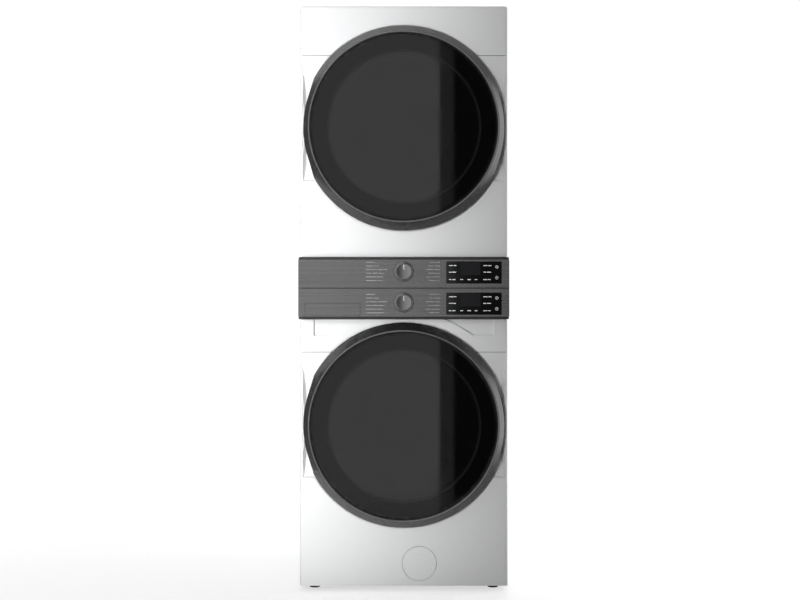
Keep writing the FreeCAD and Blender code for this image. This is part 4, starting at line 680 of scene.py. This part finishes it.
def ring_outline_mesh(x, y, z, outer, inner):
    turned_ring = [(inner, y), (outer, y), (outer, y + 0.1 * MM), (inner, y + 0.1 * MM)]
    return lathe_mesh(turned_ring, x, z, 32)


def displays():
    """The lit window and the marks on each black glass."""
    lo, hi = low("display_glasses"), high("display_glasses")
    face = lo.y
    tall = 72 * MM
    marks, screens, icons = [], [], []
    for bottom in (hi.z - tall, lo.z):
        screens.append(plate_mesh(rounded_outline(lo.x + 46 * MM, lo.x + 112 * MM, bottom + 27 * MM,
                                                  bottom + 69.5 * MM, 1.5 * MM), face - 0.05 * MM,
                                  face + 0.4 * MM))
        for up, widths in ((58.5, (13, 9)), (37, (9, 12)), (13, (8, 11))):
            marks.append((lo.x + 9 * MM, bottom + up * MM, [width * MM for width in widths]))
        for along, width in ((46, 9), (69, 12), (93, 9)):
            marks.append((lo.x + along * MM, bottom + 13 * MM, [width * MM]))
        for up, widths in ((58.5, (14, 10)), (37, (9, 14)), (13, (13, 9))):
            marks.append((lo.x + 121 * MM, bottom + up * MM, [width * MM for width in widths]))
        for up in (54, 19):
            for outer, inner in ((5.2, 4.1), (1.8, 0.7)):
                icons.append(ring_outline_mesh(lo.x + 165 * MM, face - 0.1 * MM, bottom + up * MM, outer * MM,
                                               inner * MM))
    settle("display_screens", joined_mesh(screens), SCREEN, "stack")
    printed("display_marks", marks, LIT, 2.7 * MM, 0.1 * MM, face)
    settle("display_icons", joined_mesh(icons), LIT, "stack")


def paint_console_shade_bands():
    """Dark bands painted along the console's top and bottom as the shade of rounded edges, which the flat face
    lacks, and over the groove between its two halves as its painted shade.
    """
    lo, hi = low("console"), high("console")
    reach, deep, proud = lo.x + 1.5 * MM, 0.4 * MM, 0.06 * MM
    bands = []
    for bottom, top in ((lo.z + 1 * MM, lo.z + 9 * MM), (hi.z - 9 * MM, hi.z - 1 * MM),
                        (CONSOLE_MIDDLE - 1.3 * MM, CONSOLE_MIDDLE + 1.3 * MM)):
        bands.append(plate_mesh([(reach, bottom), (-reach, bottom), (-reach, top), (reach, top)],
                                CONSOLE_FACE - proud, CONSOLE_FACE + deep))
    settle("console_dark_edges", joined_mesh(bands), EDGE_SHADE, "stack")


# painted shade: a dark brushed finish for the bands that stand in for the shading of the edges and the groove
EDGE_SHADE = brushed("console_edge_shade", (0.07, 0.07, 0.072), (0.12, 0.12, 0.122), "x", 0.8, 0.3, 0.4)
for machine in AXES:
    dial(machine)
cycle_lists()
displays()
paint_console_shade_bands()


# ---------------------------------------------------------------- drums
def drum_hole_shade():
    """Black discs painted on the washer's drum as the shade seen through its round drain holes, which are not
    cut, and darker steel discs on the dryer's for its pressed dimples, their darker tone painted shade.
    """
    wall = {"washer": 1.5 * MM, "dryer": 1.2 * MM}
    for machine, around, pitch, hole in (("washer", 66, 20 * MM, 2.1 * MM), ("dryer", 36, 44 * MM, 5 * MM)):
        node = f"{machine}_drum"
        lo, hi, axis = low(node), high(node), AXES[machine]
        skin = (hi.x - lo.x) / 2 - wall[machine] - 0.25 * MM
        start, end = lo.y + 52 * MM, lo.y + 470 * MM
        rows = int((end - start) / pitch) + 1
        stamp = disc_mesh(hole, 0.2 * MM, 10)
        drum_pattern(f"{machine}_drum_holes", stamp, axis, start, around, rows, skin, pitch, HOLE_SHADE[machine],
                     f"{machine}_drum_unit")


# painted shade: black discs for the washer's holes and darker steel for the dryer's dimples
HOLE_SHADE = {"washer": moulded("drain_hole_shade", (0.006, 0.006, 0.006), (0.01, 0.01, 0.01), 0.5, 0.7),
        "dryer": brushed("pressed_dimple_shade", (0.3, 0.3, 0.3), (0.42, 0.42, 0.42), "y", 1.0, 0.3, 0.4, 1200.0)}
drum_hole_shade()


# ---------------------------------------------------------------- threads and mesh
STEPS_PER_TURN = 20


def helix(x, y, z, radius, length, pitch):
    """Points of a thread's crest that runs back from y over a length."""
    steps = int(length / pitch * STEPS_PER_TURN)
    points = []
    for step in range(steps + 1):
        angle, run = 2 * math.pi * step / STEPS_PER_TURN, length * step / steps
        points.append((x + radius * math.cos(angle), y + run, z + radius * math.sin(angle)))
    return points


def threads():
    """Threads on the two water inlets."""
    lo, hi = low("inlet_valves"), high("inlet_valves")
    radius, reach = 12.9 * MM, 22 * MM
    inlets = [tube_mesh(helix(x, hi.y - reach - 1 * MM, (lo.z + hi.z) / 2, radius, reach - 2 * MM, 2.2 * MM),
                        0.7 * MM, 6) for x in (lo.x + 22 * MM, hi.x - 22 * MM)]
    settle("inlet_threads", joined_mesh(inlets), "zinc_steel", "stack")


def lint_mesh():
    """Black discs painted on the lint screen as the shade seen through its fine holes, which are not cut."""
    lo, hi = low("lint_screen"), high("lint_screen")
    pitch, border = 4.6 * MM, 12 * MM
    columns = int((hi.x - lo.x - 2 * border) / pitch)
    lines = int((hi.z - lo.z - 4 * border) / pitch)
    face = lo.y - 0.05 * MM
    spots = [((lo.x + border + pitch * (column + 0.5 * (line % 2)), face, lo.z + border + pitch * line),
              (math.pi / 2, 0, 0), (1, 1, 1)) for column in range(columns) for line in range(lines)]
    # painted shade: black discs in place of the screen's holes
    stamped("lint_screen_holes", disc_mesh(1.3 * MM, 0.15 * MM, 6), spots, "black_plastic", "lint_filter")


threads()
lint_mesh()


# ---------------------------------------------------------------- studio
def camera_ray(start):
    return start.node("ShaderNodeLightPath", out="Is Camera Ray")


def studio_world():
    """White behind the object; for the light it casts, a bright left, a dark strip ahead and a bright right."""
    world = bpy.data.worlds.new("studio")
    bpy.context.scene.world = world
    world.use_nodes = True
    world.node_tree.nodes.clear()
    start = Wire(world.node_tree)
    x, y, z = axes(start.node("ShaderNodeTexCoord", out="Generated"))
    ahead = (0.0 - y).sums("MAXIMUM", 0.0 - y, 0.02)
    across = x / ahead
    strip = across.spread(STRIP_EDGE - 0.0015, STRIP_EDGE + 0.0015, 1.0, 0.0)
    far_right = across.spread(0.45, 0.9, 0.0, 1.0)
    front = LEFT_GLOW * strip + STRIP_GLOW * (1.0 - strip) + (RIGHT_GLOW - STRIP_GLOW) * far_right
    level = z.sums("ABSOLUTE", z).spread(0.25, 0.75, 1.0, 0.05)
    behind = level * x.spread(-0.9, 0.9, REAR_LEFT_GLOW, REAR_RIGHT_GLOW)
    facing = y.spread(-0.12, 0.02, 0.0, 1.0)
    light = front * (1.0 - facing) + behind * facing
    light = light + z.spread(0.3, 1.0, 0.0, TOP_GLOW)
    seen = camera_ray(start)
    lit = start.node("ShaderNodeBackground", {"Color": (1, 1, 1, 1), "Strength": light})
    plain = start.node("ShaderNodeBackground", {"Color": (1, 1, 1, 1), "Strength": BACKDROP})
    mixed = start.node("ShaderNodeMixShader", {0: seen, 1: lit, 2: plain})
    start.node("ShaderNodeOutputWorld", {"Surface": mixed})


STRIP_EDGE, LEFT_GLOW, STRIP_GLOW, RIGHT_GLOW = 0.0365, 0.44, 0.02, 0.12
REAR_LEFT_GLOW, REAR_RIGHT_GLOW, TOP_GLOW, BACKDROP = 0.12, 2.0, 0.06, 1.05
FLOOR_GLOW = 0.62


def lamp(name, place, target, width, height, power, spread):
    light = bpy.data.lights.new(name, "AREA")
    light.shape, light.size, light.size_y = "RECTANGLE", width, height
    light.energy, light.spread = power, spread
    holder = bpy.data.objects.new(name, light)
    bpy.context.scene.collection.objects.link(holder)
    holder.location = place
    holder.rotation_euler = (Vector(target) - Vector(place)).to_track_quat("-Z", "Y").to_euler()
    holder.visible_camera = False
    holder.visible_glossy = False
    return holder


def studio_floor():
    """A pale floor that fades into the white behind it."""
    material, place = blank("pale_floor")
    x, y, z = axes(place)
    reach = (x * x + y * y).root()
    fade = reach.spread(0.7, 2.6, 0.0, 1.0)
    base = grain(place, 1.5).spread(0.3, 0.7, 0.0, 1.0).tone((0.5, 0.5, 0.5), (0.52, 0.52, 0.52))
    matt = place.node("ShaderNodeBsdfPrincipled", {"Base Color": base, "Roughness": 0.45,
                                                   "Specular IOR Level": 0.3})
    glow = place.node("ShaderNodeEmission", {"Strength": FLOOR_GLOW * camera_ray(place)})
    matt = place.node("ShaderNodeAddShader", {0: matt, 1: glow})
    clear = place.node("ShaderNodeBsdfTransparent")
    both = place.node("ShaderNodeMixShader", {0: fade, 1: matt, 2: clear})
    place.node("ShaderNodeOutputMaterial", {"Surface": both})
    bm = bmesh.new()
    bmesh.ops.create_grid(bm, x_segments=2, y_segments=2, size=6.0)
    mesh = bpy.data.meshes.new("floor")
    bm.to_mesh(mesh)
    bm.free()
    floor = bpy.data.objects.new("floor", mesh)
    floor.location.z = -0.0002
    mesh.materials.append(material)
    bpy.context.scene.collection.objects.link(floor)


def camera():
    """The camera stands straight ahead, at the height of the console's lower edge."""
    data = bpy.data.cameras.new("camera")
    data.lens, data.sensor_width = 61.4, 36.0
    data.shift_x, data.shift_y = -0.00475, 0.01625
    data.clip_end = 100.0
    holder = bpy.data.objects.new("camera", data)
    bpy.context.scene.collection.objects.link(holder)
    holder.location = (0.0, PANEL_FACE - 4.5, 0.914)
    holder.rotation_euler = (math.pi / 2, 0, 0)
    bpy.context.scene.camera = holder


bpy.context.scene.view_settings.view_transform = "Standard"
studio_world()
# name, place, aim, width, height, power, spread
LAMPS = (
    ("key", (-0.8, -2.6, 1.0), (-0.46, -0.33, 1.0), 0.4, 3.0, 12.0, math.radians(49)),
    ("side", (2.2, 0.75, 1.1), (0.34, -0.3, 1.0), 0.8, 2.8, 22.0, math.pi),
    ("far_side", (-2.6, 1.6, 1.3), (-0.34, 0.2, 1.0), 1.2, 2.4, 10.0, math.pi),
    ("rear", (0.6, 3.4, 1.8), (0.0, 0.4, 1.0), 2.0, 2.4, 30.0, math.pi),
    ("top", (0.0, 0.6, 3.6), (0.0, 0.4, 0.0), 2.4, 1.6, 2.5, math.pi),
)
for values in LAMPS:
    lamp(*values)
studio_floor()
camera()
